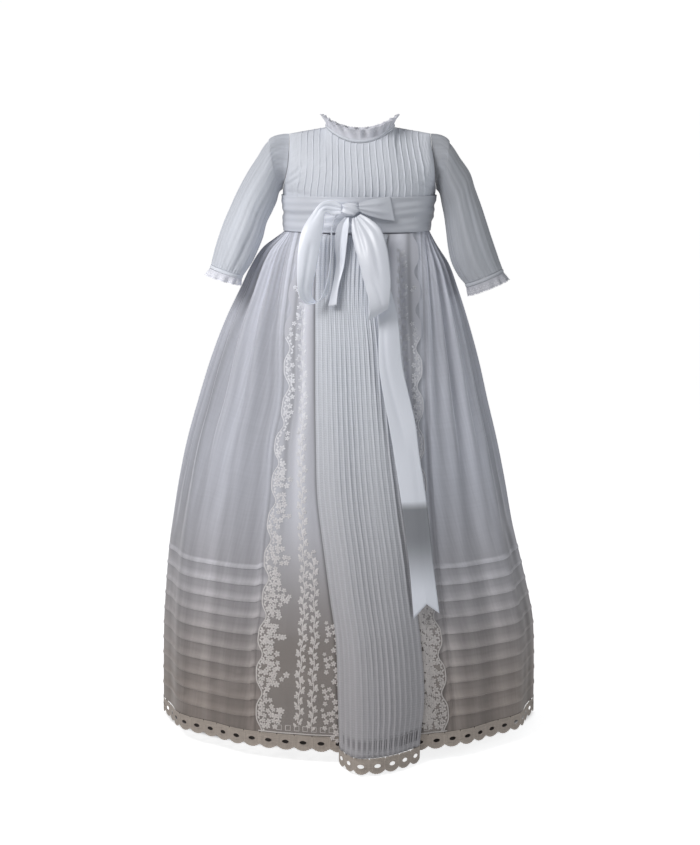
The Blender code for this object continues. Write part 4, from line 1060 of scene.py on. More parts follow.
class Finish:
    """One cloth's material, built round its own shader."""

    def __init__(self, name, roughness, sheen=0.0, specular=0.3):
        self.material = bpy.data.materials.new(name)
        self.material.use_nodes = True
        self.wiring = Wiring(self.material.node_tree)
        self.shader = self.material.node_tree.nodes["Principled BSDF"]
        self.shader.inputs["Roughness"].default_value = roughness
        self.shader.inputs["Metallic"].default_value = 0.0
        self.shader.inputs["Specular IOR Level"].default_value = specular
        self.shader.inputs["Sheen Weight"].default_value = sheen
        self.shader.inputs["Sheen Roughness"].default_value = 0.5

    def use(self, name, **values):
        """Place a shared effect with its own values and give its outputs."""
        made = self.wiring.node("ShaderNodeGroup", node_tree=effect(name))
        for label, value in values.items():
            made.inputs[label].default_value = value
        return made.outputs

    def tone(self):
        """The painted light and shade, with some random tone, laid down with the mesh."""
        return self.wiring.node("ShaderNodeAttribute", attribute_name="tone").outputs["Fac"]

    def colour(self, value, inside=1.0):
        """Set the base colour, lightened or darkened by the mesh's painted light and shade, and painted
        dimmer on the inside as shade.
        """
        value = self.shaded(value, self.tone())
        # Painted shade: where the camera sees a cloth's back face, as inside the skirt or a sleeve, its
        # colour is painted darker.
        if inside < 1.0:
            side = self.wiring.node("ShaderNodeNewGeometry").outputs["Backfacing"]
            value = self.shaded(value, self.wiring.range(side, 0.0, 1.0, 1.0, inside))
        self.wiring.feed(self.shader.inputs["Base Color"], value)

    def shaded(self, colour, shade):
        """A colour made lighter or darker by a value that changes over the cloth."""
        made = self.wiring.node("ShaderNodeMix", data_type="RGBA", blend_type="MULTIPLY")
        made.inputs["Factor"].default_value = 1.0
        self.wiring.feed(made.inputs[6], colour)
        joined = self.wiring.node("ShaderNodeCombineColor")
        for number in range(3):
            self.wiring.feed(joined.inputs[number], shade)
        self.wiring.feed(made.inputs[7], joined.outputs[0])
        return made.outputs[2]

    def bump(self, height, distance, strength=0.6):
        """Raise the surface by a height."""
        made = self.wiring.node("ShaderNodeBump")
        made.inputs["Strength"].default_value = strength
        made.inputs["Distance"].default_value = distance
        self.wiring.feed(made.inputs["Height"], height)
        self.wiring.feed(self.shader.inputs["Normal"], made.outputs[0])

    def sheer(self, value, edge=0.9):
        """Set how much of the light the cloth stops, which is more where it is seen edge-on."""
        facing = self.wiring.node("ShaderNodeLayerWeight").outputs["Facing"]
        share = self.wiring.range(facing, 0.5, 0.92, 0.0, edge)
        left = self.wiring.minus(1.0, value)
        self.wiring.feed(
            self.shader.inputs["Alpha"], self.wiring.plus(value, self.wiring.times(left, share))
        )


def rgba(colour):
    """A colour property with full alpha."""
    return (*colour, 1.0)


class Woven(Finish):
    """A finish of woven or twisted thread, of one of the kinds in WEAVES."""

    def __init__(self, name, kind):
        roughness, sheen, specular, fineness, weft, unevenness, self.raised, self.strength = WEAVES[kind]
        super().__init__(name, roughness, sheen, specular)
        self.weave = self.use("Woven threads", Fineness=fineness, Weft=weft, Unevenness=unevenness)

    def down(self, high, low, start, end):
        """A colour that changes down the gown, a painted shade that darkens it towards the hem, with the mask
        of the change.
        """
        mask = self.use("Down the gown", Start=start, End=end)["Mask"]
        return self.wiring.blend(mask, rgba(high), rgba(low)), mask

    def woven(self, colour, inside=1.0):
        """Colour and raise the cloth by its threads, and give the material."""
        self.colour(self.shaded(colour, self.weave["Shade"]), inside)
        self.bump(self.weave["Height"], self.raised, self.strength)
        return self.material

    def grain(self):
        """How much more or less light the threads stop from place to place."""
        wiring = self.wiring
        return wiring.times(wiring.minus(self.weave["Shade"], 1.0), ORGANZA_GRAIN)


def cotton_finish(name, colours):
    """Fine washed cotton."""
    return Woven(name, "cotton").woven(rgba(colours.cotton))


def panel_finish(colours):
    """Cotton with fine crosswise bars between its tucks, painted darker towards the hem as shade."""
    finish = Woven("panel_cotton", "panel")
    wiring, weave = finish.wiring, finish.weave
    bars = finish.use("Crosswise bars", Step=0.0034)["Mask"]
    painted_shade_colour, _ = finish.down(colours.cotton, colours.cotton_hem_painted_shade, 0.25, 0.86)
    finish.colour(finish.shaded(painted_shade_colour, wiring.plus(weave["Shade"], wiring.times(bars, -0.07))))
    finish.bump(wiring.minus(weave["Height"], bars), finish.raised, finish.strength)
    return finish.material


def organza_finish(name, colours, cover, low_cover, inside):
    """Sheer crisp organza, painted warmer and darker towards the hem, a painted shade for the dim inside of
    the skirt showing through.
    """
    finish = Woven(name, "organza")
    wiring = finish.wiring
    painted_shade_colour, mask = finish.down(colours.organza, colours.organza_hem_painted_shade, 0.45, 0.86)
    light = wiring.times(wiring.minus(finish.tone(), 1.0), 0.5)
    stopped = wiring.range(mask, 0.0, 1.0, cover, low_cover)
    finish.sheer(wiring.plus(stopped, wiring.plus(finish.grain(), light), clamp=True))
    return finish.woven(painted_shade_colour, inside)


def sleeve_finish(colours):
    """Sheer organza of the sleeves, which stops more light towards the wrist."""
    finish = Woven("sleeve_organza", "organza")
    mask = finish.use("Down the gown", Start=0.02, End=0.16)["Mask"]
    cover, low_cover, inside = SLEEVE_COVER
    stopped = finish.wiring.range(mask, 0.0, 1.0, cover, low_cover)
    finish.sheer(finish.wiring.plus(stopped, finish.grain(), clamp=True))
    return finish.woven(rgba(colours.sleeve), inside)


def net_finish(name, colours, cover):
    """The lace's net ground, closer above than near the hem, and painted darker towards the hem as shade."""
    finish = Finish(name, 0.8, sheen=0.2, specular=0.2)
    mesh = finish.use("Net mesh", Mesh=0.0018, Thread=0.18)["Mask"]
    mask = finish.use("Down the gown", Start=0.52, End=0.76)["Mask"]
    wiring = finish.wiring
    finish.colour(wiring.blend(mask, rgba(colours.net), rgba(colours.net_hem_painted_shade)))
    held = wiring.range(mask, 0.0, 1.0, mix(cover, 1.0, 0.7), cover)
    finish.sheer(wiring.calc("MAXIMUM", held, wiring.times(mesh, 0.95)))
    return finish.material


def thread_finish(name, light, dark):
    """Embroidery thread, lighter high on the gown and painted darker towards the hem as shade."""
    finish = Woven(name, "thread")
    return finish.woven(finish.down(light, dark, 0.3, 0.85)[0])


def satin_finish(name, colours):
    """Smooth satin ribbon with a fine lengthwise line."""
    return Woven(name, "satin").woven(rgba(colours.satin))


def lining_finish(colours):
    """Plain lining cloth, painted darker towards its hem as shade."""
    finish = Woven("lining_cotton", "lining")
    return finish.woven(finish.down(colours.lining, colours.lining_hem_painted_shade, 0.25, 0.72)[0])


def hem_finish(colours):
    """Firm corded lace of the hem edging."""
    return Woven("hem_lace_thread", "hem_lace").woven(rgba(colours.hem_lace))


def button_finish(colours):
    """Polished button with a faint cloud in it."""
    finish = Finish("button_shell", 0.25, specular=0.6)
    place = finish.wiring.node("ShaderNodeTexCoord")
    cloud = finish.wiring.noise(place.outputs["Object"], scale=300.0)
    shade = finish.wiring.range(cloud, 0.2, 0.8, 0.92, 1.0)
    finish.colour(finish.shaded(rgba(colours.button), shade))
    finish.bump(cloud, 0.00005, 0.2)
    return finish.material


def show_as(piece, node):
    """Stand a piece in for its solid."""
    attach(piece, BODY)
    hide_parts(node)


def along_seam(needle, xs, drops, step, length, width, rise):
    """Short stitches, one after the other, along a seam."""
    path = np.stack([xs, drops], axis=1)
    reached = lengths(path, 0)
    for place in np.arange(step / 2, reached[-1], step):
        x, drop = np.interp(place, reached, path[:, 0]), np.interp(place, reached, path[:, 1])
        ahead = np.interp(place + step / 2, reached, path[:, 0]) - x
        below = np.interp(place + step / 2, reached, path[:, 1]) - drop
        needle.patch(x, drop, length, width, math.atan2(below, ahead), rise, 6)


def pintuck_columns(sizes):
    """Places across the bodice front, each with how far it is raised."""
    columns = [(share, 0.0) for share in np.linspace(-1.0, -PINTUCK_REACH - 0.035, 22)]
    columns += [(share, 0.0) for share in np.linspace(PINTUCK_REACH + 0.035, 1.0, 22)]
    middles = np.linspace(-PINTUCK_REACH, PINTUCK_REACH, PINTUCKS)
    for middle in middles:
        for place, rise in PINTUCK_FOLD:
            columns.append((middle + PINTUCK_HALF * place, sizes.pintuck_rise * rise))
    for middle in (middles[:-1] + middles[1:]) / 2:
        columns += [(middle + offset, 0.0) for offset in (-0.02, -0.008, 0.008, 0.02)]
    return np.array(sorted(columns))


def make_bodice_front(sizes, cotton):
    """Cotton front with its pintucks, puckered a little along their stitching."""
    columns = pintuck_columns(sizes)
    share, down = grid(columns[:, 0], np.linspace(0.0, 1.0, 64))
    rise = np.broadcast_to(columns[:, 1], share.shape).copy()
    flat = FRONT_CLOTH.at(share, down)
    x, drop = flat[..., 0], -flat[..., 2]
    held_edge = ease((1 - np.abs(share)) / 0.06) * ease(down / 0.03) * ease((1 - down) / 0.03)
    rise = rise * (1 + 0.22 * uneven(9 * share, 14 * down, 3))
    pucker = 0.00022 * uneven(130 * share, 65 * down, 4)
    soft = 0.0009 * uneven(7 * share, 6 * down, 5) * sizes.wrinkle
    gathers = 0.0007 * np.sin(WHOLE_TURN * 60 * share) * ease((down - 0.9) / 0.08)
    pulls = creases(x, drop, BODICE_PULLS) * sizes.wrinkle
    swing = 0.0012 * uneven(0.0, 7 * down, 6) / 0.11
    rise = rise + held_edge * (pucker + soft + pulls + gathers)
    points = hold_front(FRONT_CLOTH.at(share + swing * held_edge, down, rise))
    # Painted highlight: each pintuck's raised ridge is painted lighter than the flat cotton.
    tone = 0.98 + 0.09 * columns[:, 1] / sizes.pintuck_rise
    return lay_cloth("bodice_front_cotton", points, cotton, thick=sizes.cotton_thickness, tone=tone)


def make_bodice_back(side, sign, sizes, cotton):
    """Plain cotton back, softly wrinkled."""
    share, down = grid(np.linspace(0.0, 1.0, 70), np.linspace(0.0, 1.0, 60))
    held_edge = ease(share / 0.08) * ease((1 - share) / 0.06) * ease(down / 0.04) * ease((1 - down) / 0.03)
    soft = 0.0013 * uneven(7 * share + sign, 8 * down, 21 + sign)
    gathers = 0.0008 * np.sin(WHOLE_TURN * 26 * share) * ease((down - 0.88) / 0.1)
    line = bell(share + 0.6 * down, 1.0 - 0.1 * sign, 0.07) * ease((down - 0.15) / 0.2)
    rise = held_edge * (soft + gathers - 0.0014 * line) * sizes.wrinkle
    points = hold_back(BACK_CLOTH.at(sign * share, down, rise))
    points[..., 0] = sign * np.maximum(sign * points[..., 0], GAP / 2)
    name = f"bodice_back_{side}_cotton"
    return lay_cloth(name, points, cotton, flip=sign < 0, thick=sizes.cotton_thickness)


def make_bodice_stitches(thread):
    """Stitching along the armholes."""
    needle = Needlework()
    down = np.linspace(0.02, 0.6, 80)
    for sign in (-1.0, 1.0):
        inset = 1 - 0.022 * ease(down / 0.02)
        along_seam(needle, sign * inset, down, 0.016, 0.01, 0.0035, 0.00035)
    return needle.lay("bodice_stitches", lambda a, b, rise: hold_front(FRONT_CLOTH.at(a, b, rise)), thread)


def make_placket(sizes, cotton):
    """Strip over the centre back opening."""
    half = PLACKET_HALF / BODICE[3][B_RIGHT]
    share, down = grid(np.linspace(-half, half, 17), np.linspace(PLACKET_START, PLACKET_END, 60))
    edge = np.abs(share) / half
    rise = GAP + sizes.cotton_thickness + 0.0005 * (1 - edge ** 6)
    rise = rise - 0.00022 * bell(edge, 0.78, 0.07) + 0.00012 * uneven(60 * share, 40 * down, 8)
    points = BACK_CLOTH.at(share, down, rise)
    return lay_cloth("placket_cotton", points, cotton, flip=True, thick=sizes.cotton_thickness)


def button_down(number):
    """Share of the way down the back at which a button sits."""
    return (BUTTON_FIRST + number * BUTTON_STEP - BACK_NECK[1]) / (BODICE_END - BACK_NECK[1])


def button_seat(number):
    """Middle of a button's underside, with its outward direction."""
    down = button_down(number)
    seat = Vector(BACK_CLOTH.at(0.0, down, BUTTON_LIFT))
    tip = Vector(BACK_CLOTH.at(0.0, down, BUTTON_LIFT + BUTTON_THICKNESS))
    return seat, (tip - seat).normalized()


def make_button(number, shell):
    """A small domed button with a rim and a sewn centre."""
    profile = (
        (0.0, 0.62), (0.16, 0.6), (0.3, 0.62), (0.44, 0.7), (0.6, 0.8), (0.74, 0.94),
        (0.86, 1.0), (0.95, 0.9), (1.0, 0.62), (0.98, 0.25), (0.9, 0.0), (0.0, 0.0),
    )
    sides = 36
    turn = np.linspace(0, WHOLE_TURN, sides, endpoint=False)
    seat, out = button_seat(number)
    across = out.orthogonal().normalized()
    up = out.cross(across)
    rows = []
    for radius, height in profile:
        ring = [
            seat + BUTTON_RADIUS * radius * (across * math.cos(t) + up * math.sin(t))
            + out * BUTTON_THICKNESS * height
            for t in turn
        ]
        rows.append(ring)
    return lay_cloth(f"button_{number + 1}_shell", np.array(rows, dtype=float), shell, closed=True)


def make_button_threads(thread):
    """Thread that holds each button."""
    needle = Needlework()
    for number in range(BUTTONS):
        for offset in (-0.008, 0.008):
            needle.patch(offset, button_down(number), 0.0016 / 0.11, 0.01, 0.0, 0.0006, 8)
    lift = BUTTON_LIFT + 0.66 * BUTTON_THICKNESS
    return needle.lay("button_threads", lambda a, b, rise: BACK_CLOTH.at(a, b, lift + rise), thread)


def no_swell(turn, down):
    """No folds or gathers."""
    return np.zeros(np.broadcast(turn, down).shape)


def neck_swing(turn, climb):
    """Gathers of the standing frill, a little uneven from wave to wave."""
    change = 0.5 * uneven(3 * turn, 0.0, 41, 3) + 0.35 * uneven(0.0, 3 * climb, 42, 3)
    phase = FRILL_WAVES_NECK * turn + change
    return FRILL_SWING_NECK * climb * (0.85 + 0.3 * uneven(4 * turn, 0.0, 43, 3)) * np.cos(phase)


def make_neck_band(sizes, cotton):
    """Narrow band on the neckline."""
    band = Cloth(neck_place(0.0, 0.0, no_swell), 0.3, 0.0004, -1.0)
    angle, height = grid(np.linspace(0, 360, 241)[:-1], np.linspace(2 * GAP, NECK_BAND_HEIGHT, 12))
    up = (height - 2 * GAP) / (NECK_BAND_HEIGHT - 2 * GAP)
    seam = 0.00035 * bell(up, 0.18, 0.09)
    rise = 0.0004 * np.sin(math.pi * up) - seam + 0.00018 * uneven(1.9 * angle, 6 * up, 44)
    points = band.at(angle, height, rise)
    return lay_cloth("neck_band_cotton", points, cotton, closed=True, thick=sizes.cotton_thickness)


def frill_edge(turn, waves):
    """Small scallops of a frill's edge, from 0 at a point to 1 in a dip."""
    return np.abs(np.sin(waves * turn))


def frill_needlework(scale, points, edge, cords, flowers, radius):
    """Needlework of a frill's edge: a cord on it, a finer one above, and small flowers between them."""
    needle = Needlework()
    turns = np.linspace(0, 360, points)
    for inside, width, rise in cords:
        needle.line(turns * scale, edge(turns) - inside, width, rise)
    count, twist, heights = flowers
    for number in range(count):
        turn = (number + 0.5) * 360 / count
        needle.flower(turn * scale, heights[number % 2], radius, twist * number, 0.0004, 4)
    return needle


def make_neck_frill(net_cloth, thread):
    """Gathered lace frill standing on the band, with its embroidered edge."""
    place = neck_place(NECK_BAND_HEIGHT + GAP, NECK_FRILL_FLARE, neck_swing)
    frill = Cloth(place, 0.3, 0.0004, -1.0)

    def edge(turns):
        return NECK_FRILL_HEIGHT - NECK_FRILL_DIP * frill_edge(np.radians(turns), 44)

    angle, share = grid(np.linspace(0, 360, 661)[:-1], np.linspace(0.0, 1.0, 20))
    waves = np.cos(FRILL_WAVES_NECK * np.radians(angle) + 0.5 * uneven(3 * np.radians(angle), 0.0, 41, 3))
    # Painted light: the frill is painted a little lighter overall, and lighter still on the outward crests of
    # its gathers.
    tone = 1.08 + 0.14 * waves * fade(share, 0.3, 1.2)
    points = frill.at(angle, share * edge(angle))
    sheet_piece = lay_cloth("neck_frill", points, net_cloth, closed=True, tone=tone)
    scale = math.radians(1) * 0.052
    cords = ((0.0003, 0.0009, 0.0004), (0.004, 0.0006, 0.0003))
    needle = frill_needlework(scale, 881, edge, cords, (132, 0.7, (0.0085, 0.0111)), 0.0013)
    lay = needle.lay("neck_frill_threads", lambda a, b, rise: frill.at(a / scale, b, rise), thread)
    return sheet_piece, lay


def sleeve_swell(seed):
    """Folds of a sleeve: full lengthwise ones, and fine gathers at the cap and the wrist."""

    def swell(turn, station):
        reached = np.clip(station / SLEEVE_END, 0.0, 1.0)
        full = np.sin(math.pi * reached) ** SLEEVE_FULLNESS
        bend = 0.45 * uneven(2 * turn, 0.5 * station, seed, 3)
        lower = 0.25 + 0.75 * ease((station - 2) / 6)
        folds = 0.6 * lower * SLEEVE_FOLD_DEPTH * (np.cos(SLEEVE_FOLDS * turn + bend) - FOLD_BIAS)
        fine = 0.0003 * np.sin(21 * turn + 1.6 * uneven(turn, 0.35 * station, seed + 1, 3))
        gathered = bell(station, 0.35, 0.9) + bell(station, 8.9, 0.9)
        small = 0.00035 * gathered * np.sin(38 * turn + 0.8 * uneven(3 * turn, station, seed + 2, 3))
        drape = 0.0012 * uneven(1.4 * turn, 0.9 * station, seed + 3) * full
        return full * (folds + fine) + small * ease(station / 0.2) + drape

    return swell


def cuff_swing(turn, station):
    """Gathers of the cuff's frill."""
    climb = np.clip(station - 10.0, 0.0, 1.0)
    phase = FRILL_WAVES_CUFF * turn + 0.5 * uneven(3 * turn, 0.0, 51, 3)
    return climb * FRILL_SWING_CUFF * (np.cos(phase) - FOLD_BIAS) * (1 + 0.25 * uneven(3 * turn, 0.0, 52, 3))


def make_sleeve(side, sign, organza):
    """One organza sleeve."""
    angle, station = grid(np.linspace(0, 360, 229)[:-1], np.linspace(0.0, 8.97, 100))
    sleeve = Cloth(sleeve_place(SLEEVES[side], sign, sleeve_swell(61 + int(sign))), 0.6, 0.02, -sign)
    # Painted shade: the sleeve's side towards the body is painted darker near the armhole; the whole sleeve
    # is painted lighter or darker by its side of the gown, with faint random streaks.
    painted_shade_by_body = ease((-np.cos(np.radians(angle)) + 0.1) / 0.9) * fade(station, 1.5, 5.0)
    side_light_and_streaks = PAINTED_SIDE_LIGHT[side] * (1 + 0.05 * uneven(0.3 * angle, 0.5 * station, 66))
    return lay_cloth(
        f"sleeve_{side}_organza", sleeve.at(angle, station), organza, closed=True, flip=sign > 0,
        tone=side_light_and_streaks * (1 - 0.22 * painted_shade_by_body),
    )


def make_cuff(side, sign, sizes, cotton):
    """One cuff band, slightly padded by its seam allowances."""
    angle, station = grid(np.linspace(0, 360, 121)[:-1], np.linspace(9.05, 9.95, 14))
    up = (station - 9.05) / 0.9
    rise = 0.0004 + 0.0005 * np.sin(math.pi * up) + 0.0002 * uneven(5 * np.radians(angle), 3 * up, 53)
    rise = rise - 0.0003 * (bell(up, 0.13, 0.06) + bell(up, 0.87, 0.06))
    band = Cloth(sleeve_place(SLEEVES[side], sign, no_swell), 1.0, 0.04, -sign)
    points = band.at(angle, station, rise)
    # Painted light: the band is painted lighter or darker by its side of the gown, and a little dimmer
    # overall.
    return lay_cloth(
        f"cuff_band_{side}_cotton", points, cotton, closed=True, flip=sign > 0, thick=sizes.cotton_thickness,
        tone=0.92 * PAINTED_SIDE_LIGHT[side],
    )


def make_cuff_frill(side, sign, net_cloth, thread):
    """The cuff's lace frill, with its embroidered edge."""
    frill = Cloth(sleeve_place(SLEEVES[side], sign, cuff_swing), 0.6, 0.02, -sign)
    angle, share = grid(np.linspace(0, 360, 433)[:-1], np.linspace(0.0, 1.0, 16))
    station = 10.03 + share * (0.97 - CUFF_FRILL_DIP * frill_edge(np.radians(angle), 24))
    # Painted light: the frill is painted lighter or darker by its side of the gown.
    sheet_piece = lay_cloth(
        f"cuff_frill_{side}", frill.at(angle, station), net_cloth, closed=True, flip=sign > 0,
        tone=PAINTED_SIDE_LIGHT[side],
    )
    scale, drop_scale = math.radians(1) * 0.024, 0.012

    def edge(turns):
        return (11.0 - CUFF_FRILL_DIP * frill_edge(np.radians(turns), 24)) * drop_scale

    cords = ((0.0003, 0.001, 0.0004), (0.0034, 0.0006, 0.0003))
    heights = (10.42 * drop_scale, 10.54 * drop_scale)
    needle = frill_needlework(scale, 481, edge, cords, (60, 1, heights), 0.0012)
    # Painted light: the frill's threads are painted lighter or darker by their side of the gown.
    lay = needle.lay(
        f"cuff_frill_threads_{side}",
        lambda a, b, rise: frill.at(a / scale, b / drop_scale, rise),
        thread,
        PAINTED_SIDE_LIGHT[side],
    )
    return sheet_piece, lay


def skirt_rows(sizes):
    """Drops and rises down an overskirt panel: smooth above, ten folded tucks below."""
    first = FIRST_TUCK - 1.6 * TUCK_WIDTH
    rows = [(drop, 0.0) for drop in SKIRT_TOP + (first - SKIRT_TOP) * np.linspace(0, 1, 96) ** 1.25]
    for number in range(TUCKS):
        stitched = FIRST_TUCK + number * TUCK_STEP - TUCK_WIDTH
        rows += [(stitched + share * TUCK_WIDTH, lift * sizes.tuck_rise) for share, lift in TUCK_FOLD]
        rows += [(stitched + share * TUCK_WIDTH, 0.0) for share in (1.6, 2.2, 2.8)]
    rows.append((SKIRT_END, 0.0))
    return np.array(rows)


def sag(across, drop, seed):
    """How far a tuck's line sags or lifts along the cloth."""
    free = ease((drop - 0.56) / 0.05) * ease((SKIRT_END - drop) / 0.012)
    return 0.0015 * free * uneven(across, 6 * drop, seed, 4)


def skirt_painted_light(rows, across, drop, turn_scale, seed):
    """Painted light and shade of the organza: soft light and dark streaks for its folds and gathers, a
    lighter top, tucks painted lighter where the cloth lies threefold, and a painted shadow line under each.
    """
    bands = 1.0 + 0.1 * uneven(2.4 * turn_scale * across, 1.5 * drop, seed + 5)
    bands = bands + 0.05 * uneven(9 * turn_scale * across, 2.0 * drop, seed + 6)
    stitched = FIRST_TUCK - TUCK_WIDTH + TUCK_STEP * np.arange(TUCKS)
    into = (rows[:, 0][:, None] - stitched[None]) / TUCK_WIDTH
    folded = ((into >= -0.05) & (into <= 1.0)).any(axis=1)
    below = ((into > 1.0) & (into < 1.65)).any(axis=1)
    light = mix(1.22, 1.15, ease((rows[:, 0] - 0.62) / 0.2))
    line = np.where(folded, light, np.where(below, 0.965, 1.0))
    drawn = 0.16 * uneven(26 * turn_scale * across, 3.0 * drop, seed + 7) * fade(drop, SKIRT_TOP, 0.34)
    bands = bands * mix(1.1, 1.0, ease((drop - 0.2) / 0.14))
    return (bands + drawn) * line[:, None]


def overskirt_sheet(name, place, facing, places, turn_scale, seed, sizes, organza, hold, under):
    """One organza panel with its gathers, broad folds and tucks."""
    rows = skirt_rows(sizes)
    across, drop = grid(places, rows[:, 0])
    rise = np.broadcast_to(rows[:, 1][:, None], across.shape).copy()
    seam_held = ease(across * turn_scale / 0.4)
    if under is no_lace:
        seam_held = seam_held * ease((1 - across) * turn_scale / 0.4)
    rise = rise * (1 + 0.18 * seam_held * uneven(2.5 * turn_scale * across, 20 * drop, seed))
    rise = rise * under(across)
    free = ease((drop - SKIRT_TOP) / 0.05) * ease((SKIRT_END - drop) / 0.02) * seam_held
    soft = 0.0012 * uneven(turn_scale * across, 9 * drop, seed + 1) * sizes.wrinkle
    crisp = 0.00035 * uneven(6 * turn_scale * across, 70 * drop, seed + 2) * sizes.wrinkle
    cloth = Cloth(place, 0.004, 0.001, facing)
    lowered = drop + seam_held * sag(turn_scale * across, drop, seed + 3)
    points = hold(cloth.at(across, lowered, rise + free * under(across) * (soft + crisp)))
    tone = skirt_painted_light(rows, across, drop, turn_scale, seed)
    return lay_cloth(f"{name}_organza", points, organza, flip=facing < 0, tone=tone)


def no_lace(across):
    """The back, where no lace lies on the tucks."""
    return 1.0


def under_lace(across):
    """Tucks and wrinkles run out where the lace lies on them."""
    return mix(0.25, 1.0, fade(across, 1.34, 1.5))


def lace_width(sign, drop):
    """Distance from a lace panel's scalloped edge to its hidden edge."""
    return np.abs(lace_inner_edge(sign, drop) - lace_outer_edge(sign, drop))


def scallop_notch(drop):
    """How far in the scalloped edge lies: the full depth between scallops, nothing at their middles."""
    phase = SCALLOPS * (drop - LACE_TOP) / (SKIRT_END - LACE_TOP)
    return SCALLOP_DEPTH * ((1 + np.cos(WHOLE_TURN * phase)) / 2) ** 2


class LacePanel:
    """One embroidered net panel and the flat places on it, in metres from its edge."""

    def __init__(self, side, sign):
        self.side = side
        self.sign = sign
        self.cloth = Cloth(lace_place(sign), 0.01, 0.001, -sign)

    def width(self, drop):
        """The panel's width at a drop."""
        return lace_width(self.sign, np.asarray(drop))

    def at(self, across, drop, rise):
        """Points for lengths in from the scalloped edge's outer line."""
        return self.cloth.at(across / self.width(drop), drop, LACE_LIFT + rise)

    def ground(self, net_cloth):
        """The net itself."""
        drops = np.linspace(LACE_TOP, SKIRT_END, SCALLOPS * 20 + 1)
        share, drop = grid(np.linspace(0.0, 1.0, 60) ** 1.15, drops)
        width = self.width(drop)
        notch = scallop_notch(drop)
        across = notch + share * (width - notch)
        soft = 0.0005 * uneven(90 * across, 14 * drop, 71) * ease(drop - LACE_TOP)
        points = self.at(across, drop, 0.0006 + soft)
        # Painted light and shade of a fold in the net: a lighter crest, a dark valley near the scalloped
        # edge, and a painted shadow along the centre panel's edge.
        light = 0.3 * bell(across / width, 0.47, 0.13)
        dark = 0.34 * bell(across / width, 0.24, 0.06)
        seam = 0.45 * bell(width - across, LACE_TUCK_UNDER + 0.0012, 0.0022)
        tone = 1 + (light - dark) * fade(drop, 0.42, 0.7) - seam
        return lay_cloth(f"lace_net_{self.side}", points, net_cloth, flip=self.sign > 0, tone=tone)

    def edge(self, needle):
        """Heavy corded edge along the scallops, with a finer cord inside it."""
        drops = np.linspace(EDGE_START, SKIRT_END, SCALLOPS * 22 + 1)
        notch = scallop_notch(drops)
        needle.line(notch + 0.001, drops, 0.0018, 0.001)
        for number, drop in enumerate(np.arange(EDGE_START, SKIRT_END, EDGE_STITCH)):
            inward = float(scallop_notch(drop)) + EDGE_STITCH + 0.0014 * (number % 2)
            needle.patch(inward, drop, 0.005, 0.003, 0.9 * (-1) ** number, 0.0008, 7, 0.3)

    def scallops(self, needle, size):
        """Flowers scattered along the scalloped edge, reaching further in at each scallop's middle."""
        random = np.random.default_rng(75)
        length = (SKIRT_END - LACE_TOP) / SCALLOPS
        for row, drop in enumerate(np.arange(LACE_TOP + 0.015, SKIRT_END - 0.004, FLOWER_STEP)):
            bulge = 1 - 0.35 * math.cos(WHOLE_TURN * (drop - LACE_TOP) / length)
            notch = float(scallop_notch(drop))
            reach = float(read(SCALLOP_SPREAD, drop, 1)) * bulge
            for inward in np.arange(0.0076 + 0.0034 * (row % 2), reach, 0.007):
                if random.random() < mix(0.08, 0.55, (inward / reach) ** 2):
                    continue
                jitter = random.uniform(-0.0018, 0.0018, 2)
                scale = random.uniform(0.68, 1.0) * mix(0.7, 1.0, ease((drop - 0.25) / 0.15))
                turn = random.uniform(0, 6.3)
                needle.flower(notch + inward + jitter[0], drop + jitter[1], size * scale, turn, 0.0011)

    def vine(self, needle, path, start, end, size):
        """Flowers and leaves up and down a wavy stem."""
        drops = np.arange(start, end, FLOWER_STEP)
        width = self.width(drops)
        xs = read(path, drops, 1) * width + 0.0016 * np.sin(WHOLE_TURN * drops / 0.034)
        needle.line(xs, drops, 0.0016, 0.0006)
        for number, (x, drop) in enumerate(zip(xs, drops)):
            side = (-1) ** number
            scale = size * (0.85 + 0.25 * ((number * 7) % 5) / 4)
            needle.flower(x + 0.0036 * side, drop, scale, 1.7 * number, 0.001)
            needle.patch(x - 0.0038 * side, drop + 0.003, 0.0074, 0.0038, 0.9 * side, 0.0008, 8, 0.4)

    def sprig(self, needle, x, drop, size):
        """A cluster of small flowers."""
        for across, down, scale in SPRIG_FLOWERS:
            needle.flower(x + across, drop + down, size * scale, 50 * across + 90 * down, 0.001)

    def openwork(self, needle, across, drop):
        """A small drawn square above the hem, bound round its edge."""
        corner = 0.0034
        xs = across + corner * np.array([-1, 1, 1, -1, -1])
        drops = drop + corner * np.array([-1, -1, 1, 1, -1])
        needle.line(xs, drops, 0.0011, 0.0006)


def make_lace_panel(panel, size, net_cloth, thread):
    """A lace panel: its net and all its embroidery."""
    ground = panel.ground(net_cloth)
    needle = Needlework()
    panel.edge(needle)
    panel.scallops(needle, size)
    for path, start, end in ((VINE_OUTER, 0.175, 0.848), (VINE_INNER, 0.6, 0.85)):
        panel.vine(needle, path, start, end, VINE_FLOWER * size)
    for x_share, drop in SPRIGS:
        width = float(panel.width(drop))
        panel.sprig(needle, x_share * width, drop, SPRIG_FLOWER * size)
    for across in np.arange(0.034, float(panel.width(0.85)), 0.0125):
        panel.openwork(needle, across, SKIRT_END - 0.0085)
    drops_along = np.linspace(0.004, float(panel.width(SKIRT_END)), 90)
    needle.line(drops_along, np.full(90, SKIRT_END - 0.0012), 0.0016, 0.0008)
    # Painted light: the flowers are painted lighter or darker by their side of the gown.
    lay = needle.lay(
        f"lace_flowers_{panel.side}",
        lambda a, b, rise: panel.at(a, b, 0.0007 + rise),
        thread,
        PAINTED_THREAD_SIDE_LIGHT[panel.side],
    )
    return ground, lay


